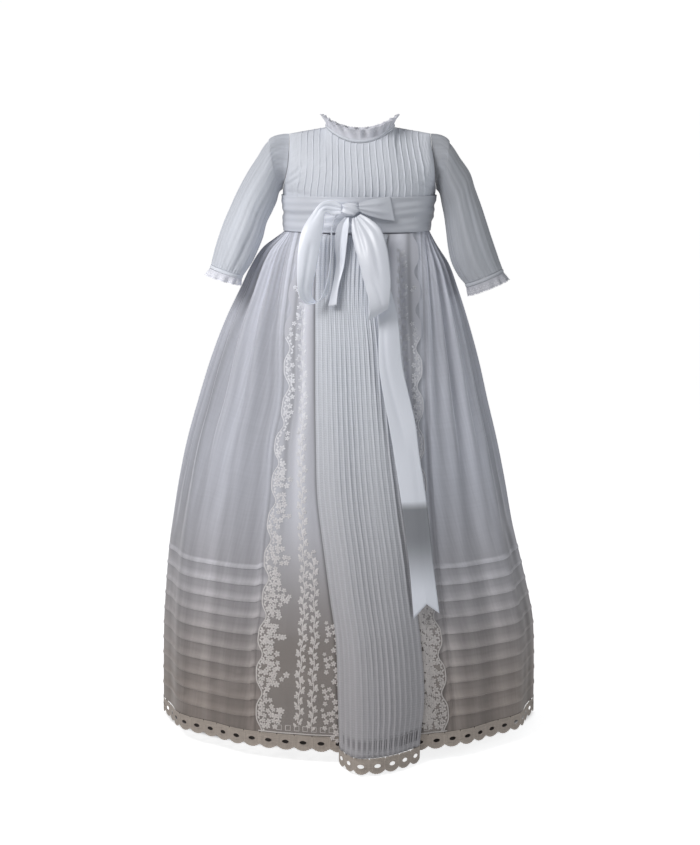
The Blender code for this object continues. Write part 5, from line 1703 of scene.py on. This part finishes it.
def panel_columns(sizes):
    """Places across the centre panel, each with how far it is raised."""
    columns = []
    step = 2.0 / PANEL_TUCKS
    for number in range(PANEL_TUCKS):
        middle = -1.0 + (number + 0.5) * step
        for place, rise in PANEL_FOLD:
            columns.append((middle + PANEL_TUCK_SHARE * place, sizes.panel_tuck_rise * rise))
        columns += [(middle + offset * step, 0.0) for offset in (-0.5, -0.38, 0.38)]
    columns.append((1.0, 0.0))
    return np.array(sorted(columns))


def make_centre_panel(sizes, cotton):
    """Tucked panel, pleated at the waist, with a forward fold down its left part."""
    columns = panel_columns(sizes)
    drops = PANEL_TOP + (PANEL_END - PANEL_TOP) * np.linspace(0.0, 1.0, 104)
    share, drop = grid(columns[:, 0], drops)
    rise = np.broadcast_to(columns[:, 1], share.shape).copy()
    rise = rise * (1 + 0.25 * uneven(5 * share, 12 * drop, 81))
    edge = ease((1 - np.abs(share)) / 0.05) * ease((drop - PANEL_TOP) / 0.01)
    pleats = 0.0019 * np.cos(WHOLE_TURN * (PANEL_TUCKS / 2) * (share + 1)) * fade(drop, 0.16, 0.33)
    soft = 0.0012 * uneven(4 * share, 7 * drop, 82) * sizes.wrinkle
    pucker = 0.0002 * uneven(60 * share, 260 * drop, 83)
    points = PANEL_CLOTH.at(share, drop, rise + edge * (pleats + soft + pucker))
    # Painted highlight on each tuck's raised ridge, and painted shade in the openwork slots above the hem.
    tone = 0.97 + 0.13 * columns[:, 1] / sizes.panel_tuck_rise
    slots = (np.abs(drop - sum(SLOT_CORDS) / 2) < 0.005) & (columns[:, 1] <= 0.0)
    tone = np.where(slots, 0.62, tone)
    return lay_cloth("centre_panel_cotton", points, cotton, thick=sizes.cotton_thickness, tone=tone)


def make_panel_openwork(thread):
    """Rows of bound eyelets between the tucks, and the bound slots above the hem."""
    needle = Needlework()
    step = 2.0 / PANEL_TUCKS
    for number in range(1, PANEL_TUCKS):
        share = -1.0 + number * step
        for drop in np.arange(0.3, 0.842, 0.0125):
            needle.patch(share, drop, 0.3 * step, 0.0011, 0.0, 0.0003, 6)
    for drop in SLOT_CORDS:
        needle.line(np.linspace(-0.985, 0.985, 160), np.full(160, drop), 0.0012, 0.0006)
    for number in range(2 * PANEL_TUCKS + 1):
        share = -0.97 + number * 1.94 / (2 * PANEL_TUCKS)
        drops = np.linspace(SLOT_CORDS[0] + 0.0005, SLOT_CORDS[1] - 0.0005, 4)
        needle.line(np.full(4, share), drops, 0.02, 0.0006)
    return needle.lay(
        "panel_openwork", lambda a, b, rise: PANEL_CLOTH.at(a, b, 0.00015 + rise), thread
    )


def even_places(place, start, end, drop):
    """Places across a surface that are equal lengths apart, and how many hem scallops fit."""
    wheres = np.linspace(start, end, 401)
    points = place(wheres, np.full(401, drop))
    reached = lengths(points, 0)
    count = round(float(reached[-1]) / HEM_PERIOD)
    return count, lambda share: np.interp(share * reached[-1], reached, wheres)


def scallop_outline(turn):
    """Where a ray from a hem scallop's hole meets its outline: share across and drop."""
    rays = np.stack([np.cos(turn), -np.sin(turn)], axis=1)
    reach = np.linspace(0.0, 0.03, 1201)
    outline = []
    for ray in rays:
        across = 0.5 + ray[0] * reach / HEM_PERIOD
        drop = HEM_HOLE_DROP + ray[1] * reach
        low = HEM_VALLEY + (HEM_DEPTH - HEM_VALLEY) * np.sin(math.pi * np.clip(across, 0, 1)) ** 0.75
        outside = (across < 0) | (across > 1) | (drop < 0) | (drop > low)
        first = int(np.argmax(outside))
        outline.append((np.clip(across[first], 0, 1), max(drop[first], 0.0)))
    return np.array(outline)


def make_hem_lace(name, cloth, start, end, top, hold, finish):
    """A strip of corded scallops, each with an oval hole, ribs round it and picots below."""
    count, at_share = even_places(cloth.place, start, end, top)
    turn = np.linspace(0, WHOLE_TURN, HEM_SIDES, endpoint=False)
    hole = np.stack([
        0.5 + HEM_HOLE[0] * np.cos(turn) / HEM_PERIOD, HEM_HOLE_DROP - HEM_HOLE[1] * np.sin(turn)
    ], axis=1)
    outline = scallop_outline(turn)
    lower = ease(-np.sin(turn) * 1.6)
    rings = np.linspace(0.0, 1.0, HEM_RINGS)
    cell = hole[None] + (outline - hole)[None] * rings[:, None, None]
    ribs = 0.0005 * np.cos(WHOLE_TURN * 3.5 * rings) ** 2
    rise = ribs[:, None] * np.ones(HEM_SIDES)[None]
    picot = 0.0009 * lower * np.abs(np.sin(9 * turn))
    cell[-1, :, 1] += picot
    cell[-2, :, 1] += 0.5 * picot
    rise = rise + 0.00025 * np.sin(18 * turn)[None] * np.sin(math.pi * rings)[:, None]
    all_points, faces, corner_map = [], [], []
    per_cell = HEM_RINGS * HEM_SIDES
    for number in range(count):
        places = at_share((number + cell[..., 0]) / count)
        all_points.append(cloth.at(places, top + cell[..., 1], rise).reshape(-1, 3))
        flat = np.stack([(number + cell[..., 0]) * HEM_PERIOD, cell[..., 1]], axis=-1).reshape(-1, 2)
        for ring in range(HEM_RINGS - 1):
            a = number * per_cell + ring * HEM_SIDES + np.arange(HEM_SIDES)
            b = number * per_cell + ring * HEM_SIDES + (np.arange(HEM_SIDES) + 1) % HEM_SIDES
            quad = np.stack([a, b, b + HEM_SIDES, a + HEM_SIDES], axis=1)
            faces.append(quad)
            corner_map.append(flat[quad - number * per_cell])
    points = hold(np.concatenate(all_points))
    tone = 1.06 - 0.3 * np.abs(np.sin(3.5 * math.pi * rings))[:, None] * (0.8 + 0.2 * np.cos(22 * turn))[None]
    tone = np.tile(tone.ravel(), count)
    faces, corner_map = np.concatenate(faces), np.concatenate(corner_map)
    return new_piece(f"{name}_edging", points, faces, corner_map, finish, tone)


def make_underskirt(name, start, seed, sizes, lining, hold):
    """One half of the underskirt, with a narrow turned hem."""
    angle, share = grid(np.linspace(start, start + 180, 141), np.linspace(0.0, 1.0, 60))
    drop = SKIRT_TOP + (LINING_END - SKIRT_TOP) * share
    free = ease((drop - SKIRT_TOP) / 0.06)
    seam_held = ease((angle - start) / 6) * ease((start + 180 - angle) / 6)
    waves = 0.003 * np.cos(math.radians(9) * (angle - start)) * free * seam_held
    soft = 0.0022 * uneven(0.1 * angle, 6 * drop, seed) * free * seam_held * sizes.wrinkle
    hem = 0.0007 * ease((share - 0.972) / 0.004) - 0.0005 * bell(share, 0.973, 0.002)
    points = Cloth(lining_place, 0.3, 0.001).at(angle, drop, waves + soft + hem - 0.0022 * free)
    return lay_cloth(f"{name}_lining", hold(points), lining, thick=sizes.lining_thickness)


def make_waist_band(sizes, satin):
    """Wide ribbon round the waist, wrinkled lengthwise and pulled in at the bow."""
    angle, drop = grid(np.linspace(0, 360, 361)[:-1], np.linspace(BAND_TOP, BAND_END, 40))
    down = (drop - BAND_TOP) / (BAND_END - BAND_TOP)
    turn = np.radians(angle)
    held = np.sin(math.pi * down) ** 0.6
    drift = 0.22 * np.sin(turn + 0.6)
    long_waves = 0.0009 * np.sin(WHOLE_TURN * (1.9 * down + drift) + 2.1 * np.sin(2 * turn))
    fine = 0.0006 * np.sin(WHOLE_TURN * (4.3 * down + 0.5 * np.sin(1.0 * turn)) + 3 * uneven(turn, 0, 91, 3))
    soft = 0.0007 * uneven(3 * turn, 3 * down, 92)
    wrapped = np.where(angle > 180, angle - 360, angle)
    near_knot = bell(wrapped, -8, 16)
    pulled = -0.001 * near_knot * np.cos(WHOLE_TURN * 3 * down)
    rise = BAND_CLOSE + sizes.wrinkle * held * (long_waves + fine + soft + pulled)
    points = Cloth(band_place, 0.3, 0.001).at(angle, drop, rise)
    # Painted shade: the band is painted darker towards the viewer's right, where less light falls, with a
    # faint random mottling.
    tone = mix(0.93, 0.74, ease((points[..., 0] + 0.06) / 0.14)) * (1 + 0.05 * uneven(3 * turn, 6 * down, 93))
    return lay_cloth("waist_band_satin", points, satin, closed=True, thick=sizes.ribbon_thickness, tone=tone)


def ribbon_folds(name, across, station, last):
    """Creases of one bow piece: soft troughs that leave the knot and fan out along the ribbon."""
    total = np.zeros(across.shape)
    for piece, start_across, start, end_across, end, depth, half in RIBBON_CREASES:
        if piece == name:
            share = np.clip((station - start) / (end - start), 0.0, 1.0)
            middle = mix(start_across, end_across, share)
            ends = ease((station - start) / 0.6 + 1) * ease((end - station) / 1.2)
            total = total - depth * bell(across, middle, half) * ends
    return total


def make_ribbon(name, table, satin, sizes, notch=0.0, seed=1):
    """A ribbon of the bow, with its creases. A notch cuts its end as a swallow tail."""
    last = len(table) - 1
    across, station = grid(np.linspace(0.0, 1.0, 21), np.linspace(0.0, last, 14 * last + 1))
    free = np.sin(math.pi * np.clip(station / last, 0.0, 1.0)) ** 0.5
    soft = 0.0007 * uneven(4 * across, 1.4 * station, seed) * free
    cloth = Cloth(ribbon_place(table), 0.03, 0.03)
    rise = 0.5 * sizes.ribbon_thickness + soft * sizes.wrinkle + ribbon_folds(name, across, station, last)
    points = cloth.at(across, station, rise)
    near_end = ease((station - (last - 0.9)) / 0.9)
    points[..., 2] += notch * near_end * (1 - np.abs(2 * across - 1))
    # Painted light and shade: each ribbon is painted lighter or darker as a whole, and painted darker still
    # between the drops where the long tail lies in shade.
    below = -points[..., 2]
    shade = ease((below - TAIL_SHADE[0]) / 0.012) * fade(below, TAIL_SHADE[1], TAIL_SHADE[2])
    tone = RIBBON_PAINTED_LIGHT[name] * (1 - 0.68 * shade)
    return lay_cloth(f"{name}_satin", points, satin, thick=sizes.ribbon_thickness, tone=tone)


def make_knot(satin):
    """The knot: a band of ribbon drawn into folds round the middle of the bow."""
    turn, level = grid(np.linspace(0, WHOLE_TURN, 97)[:-1], np.linspace(-1.45, 1.45, 49))

    def squared(value, power):
        return np.sign(value) * np.abs(value) ** power

    folds = 1 + 0.1 * np.sin(7.5 * np.sin(level) + 3.0 * np.cos(turn))
    folds = folds + 0.035 * uneven(2 * turn, 3 * level, 95)
    side = squared(np.cos(turn), 0.9) * squared(np.cos(level), 0.8) * folds
    front = squared(np.sin(turn), 0.8) * squared(np.cos(level), 0.7) * folds
    x = KNOT_CENTRE[0] + KNOT_HALF[0] * side
    y = KNOT_CENTRE[1] + KNOT_HALF[1] * front
    z = KNOT_CENTRE[2] + KNOT_HALF[2] * squared(np.sin(level), 0.8)
    return lay_cloth("bow_knot_satin", join(x, y, z), satin, closed=True)


def length_property(name, description, default, least, most):
    """A length property."""
    return FloatProperty(
        name=name, description=description, default=default, min=least, max=most, subtype="DISTANCE",
        unit="LENGTH",
    )


def share_property(name, description, default, most):
    """A plain factor."""
    return FloatProperty(
        name=name, description=description, default=default, min=0.0, max=most, subtype="FACTOR"
    )


def power_property(name, description, default):
    """A lamp's power."""
    return FloatProperty(
        name=name, description=description, default=default, min=0.0, max=400.0, subtype="POWER", unit="POWER"
    )


def colour_property(name, description, default):
    """A colour property in linear values."""
    return FloatVectorProperty(
        name=name, description=description, default=default, size=3, min=0.0, max=1.0, subtype="COLOR"
    )


class GownSizes(bpy.types.PropertyGroup):
    """Sizes of the sewing."""

    pintuck_rise: length_property(
        "Pintuck rise", "How far each pintuck of the bodice stands up", 0.001, 0.0, 0.003
    )
    panel_tuck_rise: length_property(
        "Panel tuck rise", "How far each tuck of the centre panel stands up", 0.0012, 0.0, 0.003
    )
    tuck_rise: length_property(
        "Skirt tuck rise", "How far each tuck of the overskirt stands up", 0.0008, 0.0, 0.004
    )
    cotton_thickness: length_property(
        "Cotton thickness", "Thickness of the bodice's cotton", 0.0005, 0.0001, 0.0015
    )
    lining_thickness: length_property(
        "Lining thickness", "Thickness of the underskirt's cloth", 0.0004, 0.0001, 0.0012
    )
    ribbon_thickness: length_property(
        "Ribbon thickness", "Thickness of the satin ribbon", 0.0005, 0.0001, 0.0011
    )
    flower_size: length_property(
        "Flower size", "Radius of the largest embroidered flowers", 0.005, 0.001, 0.008
    )
    wrinkle: share_property("Wrinkles", "Share of full depth that the soft wrinkles have", 1.0, 1.5)


class GownColours(bpy.types.PropertyGroup):
    """Colours of the cloth, thread and buttons."""

    cotton: colour_property("Cotton", "Bodice, centre panel and cuffs", (0.7, 0.73, 0.79))
    # Painted shade: the centre panel's cotton darkens to this colour towards the hem
    cotton_hem_painted_shade: colour_property("Cotton at the hem", "The centre panel near its hem", (0.43, 0.42, 0.44))
    organza: colour_property("Organza", "Overskirt near the waist", (0.7, 0.72, 0.8))
    # Painted shade: the overskirt darkens to this warm colour below the lining, where the dim inside of the
    # skirt shows through
    organza_hem_painted_shade: colour_property("Organza at the hem", "Overskirt below the lining", (0.33, 0.285, 0.26))
    sleeve: colour_property("Sleeve organza", "Sleeves", (0.62, 0.65, 0.71))
    thread: colour_property("Lace thread", "Embroidery near the waist", (0.84, 0.85, 0.9))
    # Painted shade: the lace flowers darken to this colour towards the hem
    thread_hem_painted_shade: colour_property("Lace thread at the hem", "Embroidery near the hem", (0.64, 0.6, 0.58))
    net: colour_property("Net", "Lace ground near the waist", (0.66, 0.67, 0.73))
    # Painted shade: the net darkens to this colour below the lining
    net_hem_painted_shade: colour_property("Net at the hem", "Lace ground below the lining", (0.38, 0.345, 0.325))
    hem_lace: colour_property("Hem lace", "Scalloped edging", (0.48, 0.42, 0.37))
    satin: colour_property("Satin", "Waist band and bow", (0.76, 0.79, 0.86))
    lining: colour_property("Lining", "Underskirt near the waist", (0.62, 0.63, 0.69))
    # Painted shade: the underskirt darkens to this colour towards its hem
    lining_hem_painted_shade: colour_property("Lining at its hem", "Underskirt near its hem", (0.5, 0.5, 0.56))
    button: colour_property("Buttons", "Back buttons", (0.8, 0.79, 0.77))


class GownStage(bpy.types.PropertyGroup):
    """Light of the studio."""

    key_power: power_property("Key light", "Power of the large light at the upper left", 27.0)
    fill_power: power_property("Fill light", "Power of the weak light at the right", 9.0)
    surround: share_property("Surround", "Strength of the even light from all round", 0.19, 2.0)


def chosen(context):
    """The sizes and colours that the user has set."""
    return context.scene.gown_sizes, context.scene.gown_colours


class GOWN_OT_bodice(bpy.types.Operator):
    """Cotton bodice front with its pintucks, and the two plain backs."""

    bl_idname = "gown.bodice"
    bl_label = "Bodice"

    def execute(self, context):
        sizes, colours = chosen(context)
        cotton = cotton_finish("bodice_cotton", colours)
        front = make_bodice_front(sizes, cotton)
        stitches = make_bodice_stitches(thread_finish("bodice_thread", colours.cotton, colours.cotton))
        show_as(stitches, "bodice_front")
        show_as(front, "bodice_front")
        for side, sign in SIDES:
            back = make_bodice_back(side, sign, sizes, cotton)
            show_as(back, f"bodice_back_{side}")
        return {"FINISHED"}


class GOWN_OT_back_closing(bpy.types.Operator):
    """Placket over the centre back opening, with four buttons."""

    bl_idname = "gown.back_closing"
    bl_label = "Back closing"

    def execute(self, context):
        sizes, colours = chosen(context)
        placket = make_placket(sizes, cotton_finish("placket_cotton", colours))
        stitches = make_button_threads(thread_finish("button_thread", colours.cotton, colours.cotton))
        shell = button_finish(colours)
        for number in range(BUTTONS):
            show_as(make_button(number, shell), f"button_{number + 1}")
        show_as(stitches, "back_placket")
        show_as(placket, "back_placket")
        return {"FINISHED"}


class GOWN_OT_neck(bpy.types.Operator):
    """Narrow neck band with a gathered lace frill."""

    bl_idname = "gown.neck"
    bl_label = "Neck"

    def execute(self, context):
        sizes, colours = chosen(context)
        band = make_neck_band(sizes, cotton_finish("band_cotton", colours))
        show_as(band, "neck_band")
        thread = thread_finish("neck_thread", colours.thread, colours.thread)
        frill, stitches = make_neck_frill(net_finish("neck_net", colours, NECK_NET_COVER), thread)
        show_as(stitches, "neck_ruffle")
        show_as(frill, "neck_ruffle")
        return {"FINISHED"}


class GOWN_OT_sleeves(bpy.types.Operator):
    """Two long organza sleeves, gathered at the armhole and the wrist."""

    bl_idname = "gown.sleeves"
    bl_label = "Sleeves"

    def execute(self, context):
        organza = sleeve_finish(chosen(context)[1])
        for side, sign in SIDES:
            sleeve = make_sleeve(side, sign, organza)
            show_as(sleeve, f"sleeve_{side}")
        return {"FINISHED"}


class GOWN_OT_cuffs(bpy.types.Operator):
    """Cuff bands with their lace frills."""

    bl_idname = "gown.cuffs"
    bl_label = "Cuffs"

    def execute(self, context):
        sizes, colours = chosen(context)
        cotton = cotton_finish("cuff_cotton", colours)
        net_cloth = net_finish("cuff_net", colours, CUFF_NET_COVER)
        thread = thread_finish("cuff_thread", colours.thread, colours.thread)
        for side, sign in SIDES:
            band = make_cuff(side, sign, sizes, cotton)
            show_as(band, f"cuff_band_{side}")
            frill, stitches = make_cuff_frill(side, sign, net_cloth, thread)
            node = f"cuff_ruffle_{side}"
            show_as(stitches, node)
            show_as(frill, node)
        return {"FINISHED"}


class GOWN_OT_overskirt(bpy.types.Operator):
    """Organza sides and back of the overskirt, gathered above and tucked below."""

    bl_idname = "gown.overskirt"
    bl_label = "Overskirt"

    def execute(self, context):
        sizes, colours = chosen(context)
        organza = organza_finish("skirt_organza", colours, *SKIRT_COVER)
        places = np.concatenate([np.linspace(0.0, 1.0, 121), np.linspace(1.05, 2.0, 14)])
        for side, sign in SIDES:
            name, place = f"skirt_side_{side}", side_place(sign)
            piece = overskirt_sheet(
                name, place, -sign, places, 4.0, 101 + sign, sizes, organza, hold_front, under_lace
            )
            show_as(piece, name)
        organza = organza_finish("back_organza", colours, *BACK_COVER)
        places = np.linspace(0.0, 1.0, 181)
        piece = overskirt_sheet(
            "skirt_back", back_place, 1.0, places, 9.0, 121, sizes, organza, hold_back, no_lace
        )
        show_as(piece, "skirt_back")
        return {"FINISHED"}


class GOWN_OT_lace_panels(bpy.types.Operator):
    """Two net panels with scalloped edges, embroidered with flowers and vines."""

    bl_idname = "gown.lace_panels"
    bl_label = "Lace panels"

    def execute(self, context):
        sizes, colours = chosen(context)
        net_cloth = net_finish("lace_net", colours, LACE_NET_COVER)
        thread = thread_finish("lace_thread", colours.thread, colours.thread_hem_painted_shade)
        for side, sign in SIDES:
            ground, flowers = make_lace_panel(LacePanel(side, sign), sizes.flower_size, net_cloth, thread)
            node = f"lace_panel_{side}"
            show_as(flowers, node)
            show_as(ground, node)
        return {"FINISHED"}


class GOWN_OT_centre_panel(bpy.types.Operator):
    """Tucked centre panel with its drawn threadwork."""

    bl_idname = "gown.centre_panel"
    bl_label = "Centre panel"

    def execute(self, context):
        sizes, colours = chosen(context)
        panel = make_centre_panel(sizes, panel_finish(colours))
        openwork = make_panel_openwork(thread_finish("panel_thread", colours.cotton, colours.cotton_hem_painted_shade))
        node, carriers = "skirt_centre_panel", ("waist_band", "lace_panel_left")
        show_as(openwork, node)
        show_as(panel, node)
        return {"FINISHED"}


class GOWN_OT_hem_lace(bpy.types.Operator):
    """Scalloped edging round the hem and on the centre panel."""

    bl_idname = "gown.hem_lace"
    bl_label = "Hem lace"

    def execute(self, context):
        finish = hem_finish(chosen(context)[1])
        hem = Cloth(hem_place, 0.3, 0.001)
        left_end, right_end = (
            float(shell_angle(lace_inner_edge(sign, SKIRT_END), SKIRT_END)) for side, sign in SIDES
        )
        top, panel_top = SKIRT_END + GAP, PANEL_END + GAP
        for name, cloth, start, end, drop, hold, carrier in (
            ("hem_lace_left", hem, -90.0, left_end, top, hold_front, "skirt_side_left"),
            ("hem_lace_right", hem, right_end, 90.0, top, hold_front, "skirt_side_right"),
            ("hem_lace_back_right", hem, 90.0, 180.0, top, hold_back, "skirt_back"),
            ("hem_lace_back_left", hem, 180.0, 270.0, top, hold_back, "skirt_back"),
            ("hem_lace_centre", PANEL_CLOTH, -1.0, 1.0, panel_top, no_hold, "skirt_centre_panel"),
        ):
            piece = make_hem_lace(name, cloth, start, end, drop, hold, finish)
            show_as(piece, name)
        return {"FINISHED"}


class GOWN_OT_underskirt(bpy.types.Operator):
    """Plain shorter underskirt."""

    bl_idname = "gown.underskirt"
    bl_label = "Underskirt"

    def execute(self, context):
        sizes, colours = chosen(context)
        lining = lining_finish(colours)
        for name, start, seed, hold in (
            ("underskirt_front", -90.0, 131, hold_front),
            ("underskirt_back", 90.0, 132, hold_back),
        ):
            piece = make_underskirt(name, start, seed, sizes, lining, hold)
            show_as(piece, name)
        return {"FINISHED"}


class GOWN_OT_waist_band(bpy.types.Operator):
    """Wide satin ribbon round the waist."""

    bl_idname = "gown.waist_band"
    bl_label = "Waist band"

    def execute(self, context):
        sizes, colours = chosen(context)
        band = make_waist_band(sizes, satin_finish("band_satin", colours))
        show_as(band, "waist_band")
        return {"FINISHED"}


class GOWN_OT_bow(bpy.types.Operator):
    """Bow: knot, two loops, a wing, a short tail and a long tail."""

    bl_idname = "gown.bow"
    bl_label = "Bow"

    def execute(self, context):
        sizes, colours = chosen(context)
        satin = satin_finish("bow_satin", colours)
        knot = make_knot(satin)
        show_as(knot, "bow_knot")
        for name, table, notch, seed in (
            ("bow_loop_left", LOOP_LEFT, 0.0, 141),
            ("bow_loop_right", LOOP_RIGHT, 0.0, 142),
            ("bow_tail_short", TAIL_SHORT, 0.0, 143),
            ("bow_tail_long", TAIL_LONG, TAIL_NOTCH, 144),
            ("bow_wing_right", WING_RIGHT, 0.0, 145),
        ):
            ribbon = make_ribbon(name, table, satin, sizes, notch, seed)
            show_as(ribbon, name)
        return {"FINISHED"}


def area_light(name, place, size, power, colour):
    """A soft square light aimed at the middle of the gown."""
    lamp = bpy.data.lights.new(name, "AREA")
    lamp.shape = "SQUARE"
    lamp.size = size
    lamp.energy = power
    lamp.color = colour
    light = bpy.data.objects.new(name, lamp)
    bpy.context.scene.collection.objects.link(light)
    light.location = place
    light.rotation_euler = (Vector(GOWN_MIDDLE) - Vector(place)).to_track_quat("-Z", "Y").to_euler()
    return light


def make_backdrop():
    """A pale sweep: floor below the hem, curving up into a wall behind, with a painted shadow on the floor
    under the gown.
    """
    rows = [(FLOOR_FRONT, 0.0), (FLOOR_BACK, 0.0)]
    for turn in np.linspace(0.1, math.pi / 2, 14):
        rows.append((FLOOR_BACK + SWEEP_CURVE * math.sin(turn), SWEEP_CURVE - SWEEP_CURVE * math.cos(turn)))
    rows.append((FLOOR_BACK + SWEEP_CURVE, WALL_TOP))
    points = [[(side, y, z - FLOOR_DROP) for side in (-PAPER_HALF, PAPER_HALF)] for y, z in rows]
    paper = Finish("backdrop_paper", 0.95, specular=0.05)
    wiring = paper.wiring
    path = wiring.node("ShaderNodeLightPath").outputs
    x, y, z = wiring.place()
    left, right = SKIRT[-1][S_LEFT], SKIRT[-1][S_RIGHT]
    across = wiring.minus(x, (right - left) / 2)
    across = wiring.calc("DIVIDE", across, (right + left) / 2)
    wide = wiring.times(across, across)
    spreads = []
    for offset in (0.0, SHADE_BEHIND):
        back = wiring.calc("DIVIDE", wiring.minus(y, offset), SKIRT[-1][S_DEPTH])
        spreads.append(wiring.plus(wide, wiring.times(back, back)))
    # Painted shadow: in an oval under the hem, reaching a little further behind, and wherever the floor is
    # seen through cloth, the paper is painted dark and does not glow; elsewhere, and all up the wall, it is
    # pale and glows white where the camera sees it.
    beside = wiring.range(wiring.calc("MAXIMUM", *spreads), 0.94, 1.1)
    above = wiring.range(z, 0.02 - FLOOR_DROP, 0.05 - FLOOR_DROP)
    straight = wiring.minus(1.0, path["Transparent Depth"], clamp=True)
    pale = wiring.calc("MAXIMUM", wiring.times(beside, straight), above)
    paper.colour(wiring.blend(pale, SHADED_PAPER, PAPER))
    seen = wiring.times(path["Is Camera Ray"], pale)
    glow = wiring.times(wiring.times(seen, straight), PAPER_GLOW)
    paper.shader.inputs["Emission Color"].default_value = (1.0, 1.0, 1.0, 1.0)
    wiring.feed(paper.shader.inputs["Emission Strength"], glow)
    return lay_cloth("backdrop", np.array(points), paper.material)


class GOWN_OT_stage(bpy.types.Operator):
    """Pale sweep, soft studio light and the camera."""

    bl_idname = "gown.stage"
    bl_label = "Stage"

    def execute(self, context):
        scene, light = context.scene, context.scene.gown_stage
        backdrop = make_backdrop()
        key = area_light("key", KEY_PLACE, KEY_SIZE, light.key_power, KEY_COLOUR)
        fill = area_light("fill", FILL_PLACE, FILL_SIZE, light.fill_power, FILL_COLOUR)
        lens = bpy.data.cameras.new("camera")
        lens.lens = CAMERA_LENS
        lens.sensor_width = 36.0
        camera = bpy.data.objects.new("camera", lens)
        scene.collection.objects.link(camera)
        camera.location = CAMERA_PLACE
        camera.rotation_euler = (math.radians(CAMERA_TILT), 0.0, 0.0)
        scene.camera = camera
        world = bpy.data.worlds.new("studio")
        world.use_nodes = True
        world.node_tree.nodes["Background"].inputs["Color"].default_value = (1.0, 1.0, 1.0, 1.0)
        world.node_tree.nodes["Background"].inputs["Strength"].default_value = light.surround
        scene.world = world
        scene.view_settings.view_transform = "Standard"
        return {"FINISHED"}


OPERATORS = (
    GOWN_OT_bodice,
    GOWN_OT_back_closing,
    GOWN_OT_neck,
    GOWN_OT_sleeves,
    GOWN_OT_cuffs,
    GOWN_OT_overskirt,
    GOWN_OT_lace_panels,
    GOWN_OT_centre_panel,
    GOWN_OT_hem_lace,
    GOWN_OT_underskirt,
    GOWN_OT_waist_band,
    GOWN_OT_bow,
    GOWN_OT_stage,
)


class VIEW3D_PT_gown(bpy.types.Panel):
    """Sizes, colours, light and the steps that make the gown."""

    bl_label = "Lace Gown"
    bl_idname = "VIEW3D_PT_gown"
    bl_space_type = "VIEW_3D"
    bl_region_type = "UI"
    bl_category = "Gown"

    def draw(self, context):
        layout, scene = self.layout, context.scene
        for label, group in (
            ("Sizes", scene.gown_sizes), ("Colours", scene.gown_colours), ("Light", scene.gown_stage)
        ):
            box = layout.box()
            box.label(text=label)
            for key in group.__annotations__:
                box.prop(group, key)
        column = layout.column(align=True)
        for operator in OPERATORS:
            column.operator(operator.bl_idname)


GROUPS = (GownSizes, GownColours, GownStage)


def register():
    """Register the classes and the scene's properties."""
    for item in GROUPS + OPERATORS + (VIEW3D_PT_gown,):
        bpy.utils.register_class(item)
    bpy.types.Scene.gown_sizes = PointerProperty(type=GownSizes)
    bpy.types.Scene.gown_colours = PointerProperty(type=GownColours)
    bpy.types.Scene.gown_stage = PointerProperty(type=GownStage)


def unregister():
    """Take the classes and the scene's properties away again."""
    del bpy.types.Scene.gown_stage
    del bpy.types.Scene.gown_colours
    del bpy.types.Scene.gown_sizes
    for item in reversed(GROUPS + OPERATORS + (VIEW3D_PT_gown,)):
        bpy.utils.unregister_class(item)


def main():
    """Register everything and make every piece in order."""
    register()
    for step in OPERATORS:
        getattr(bpy.ops.gown, step.bl_idname.partition(".")[2])()


if __name__ == "__main__":
    main()
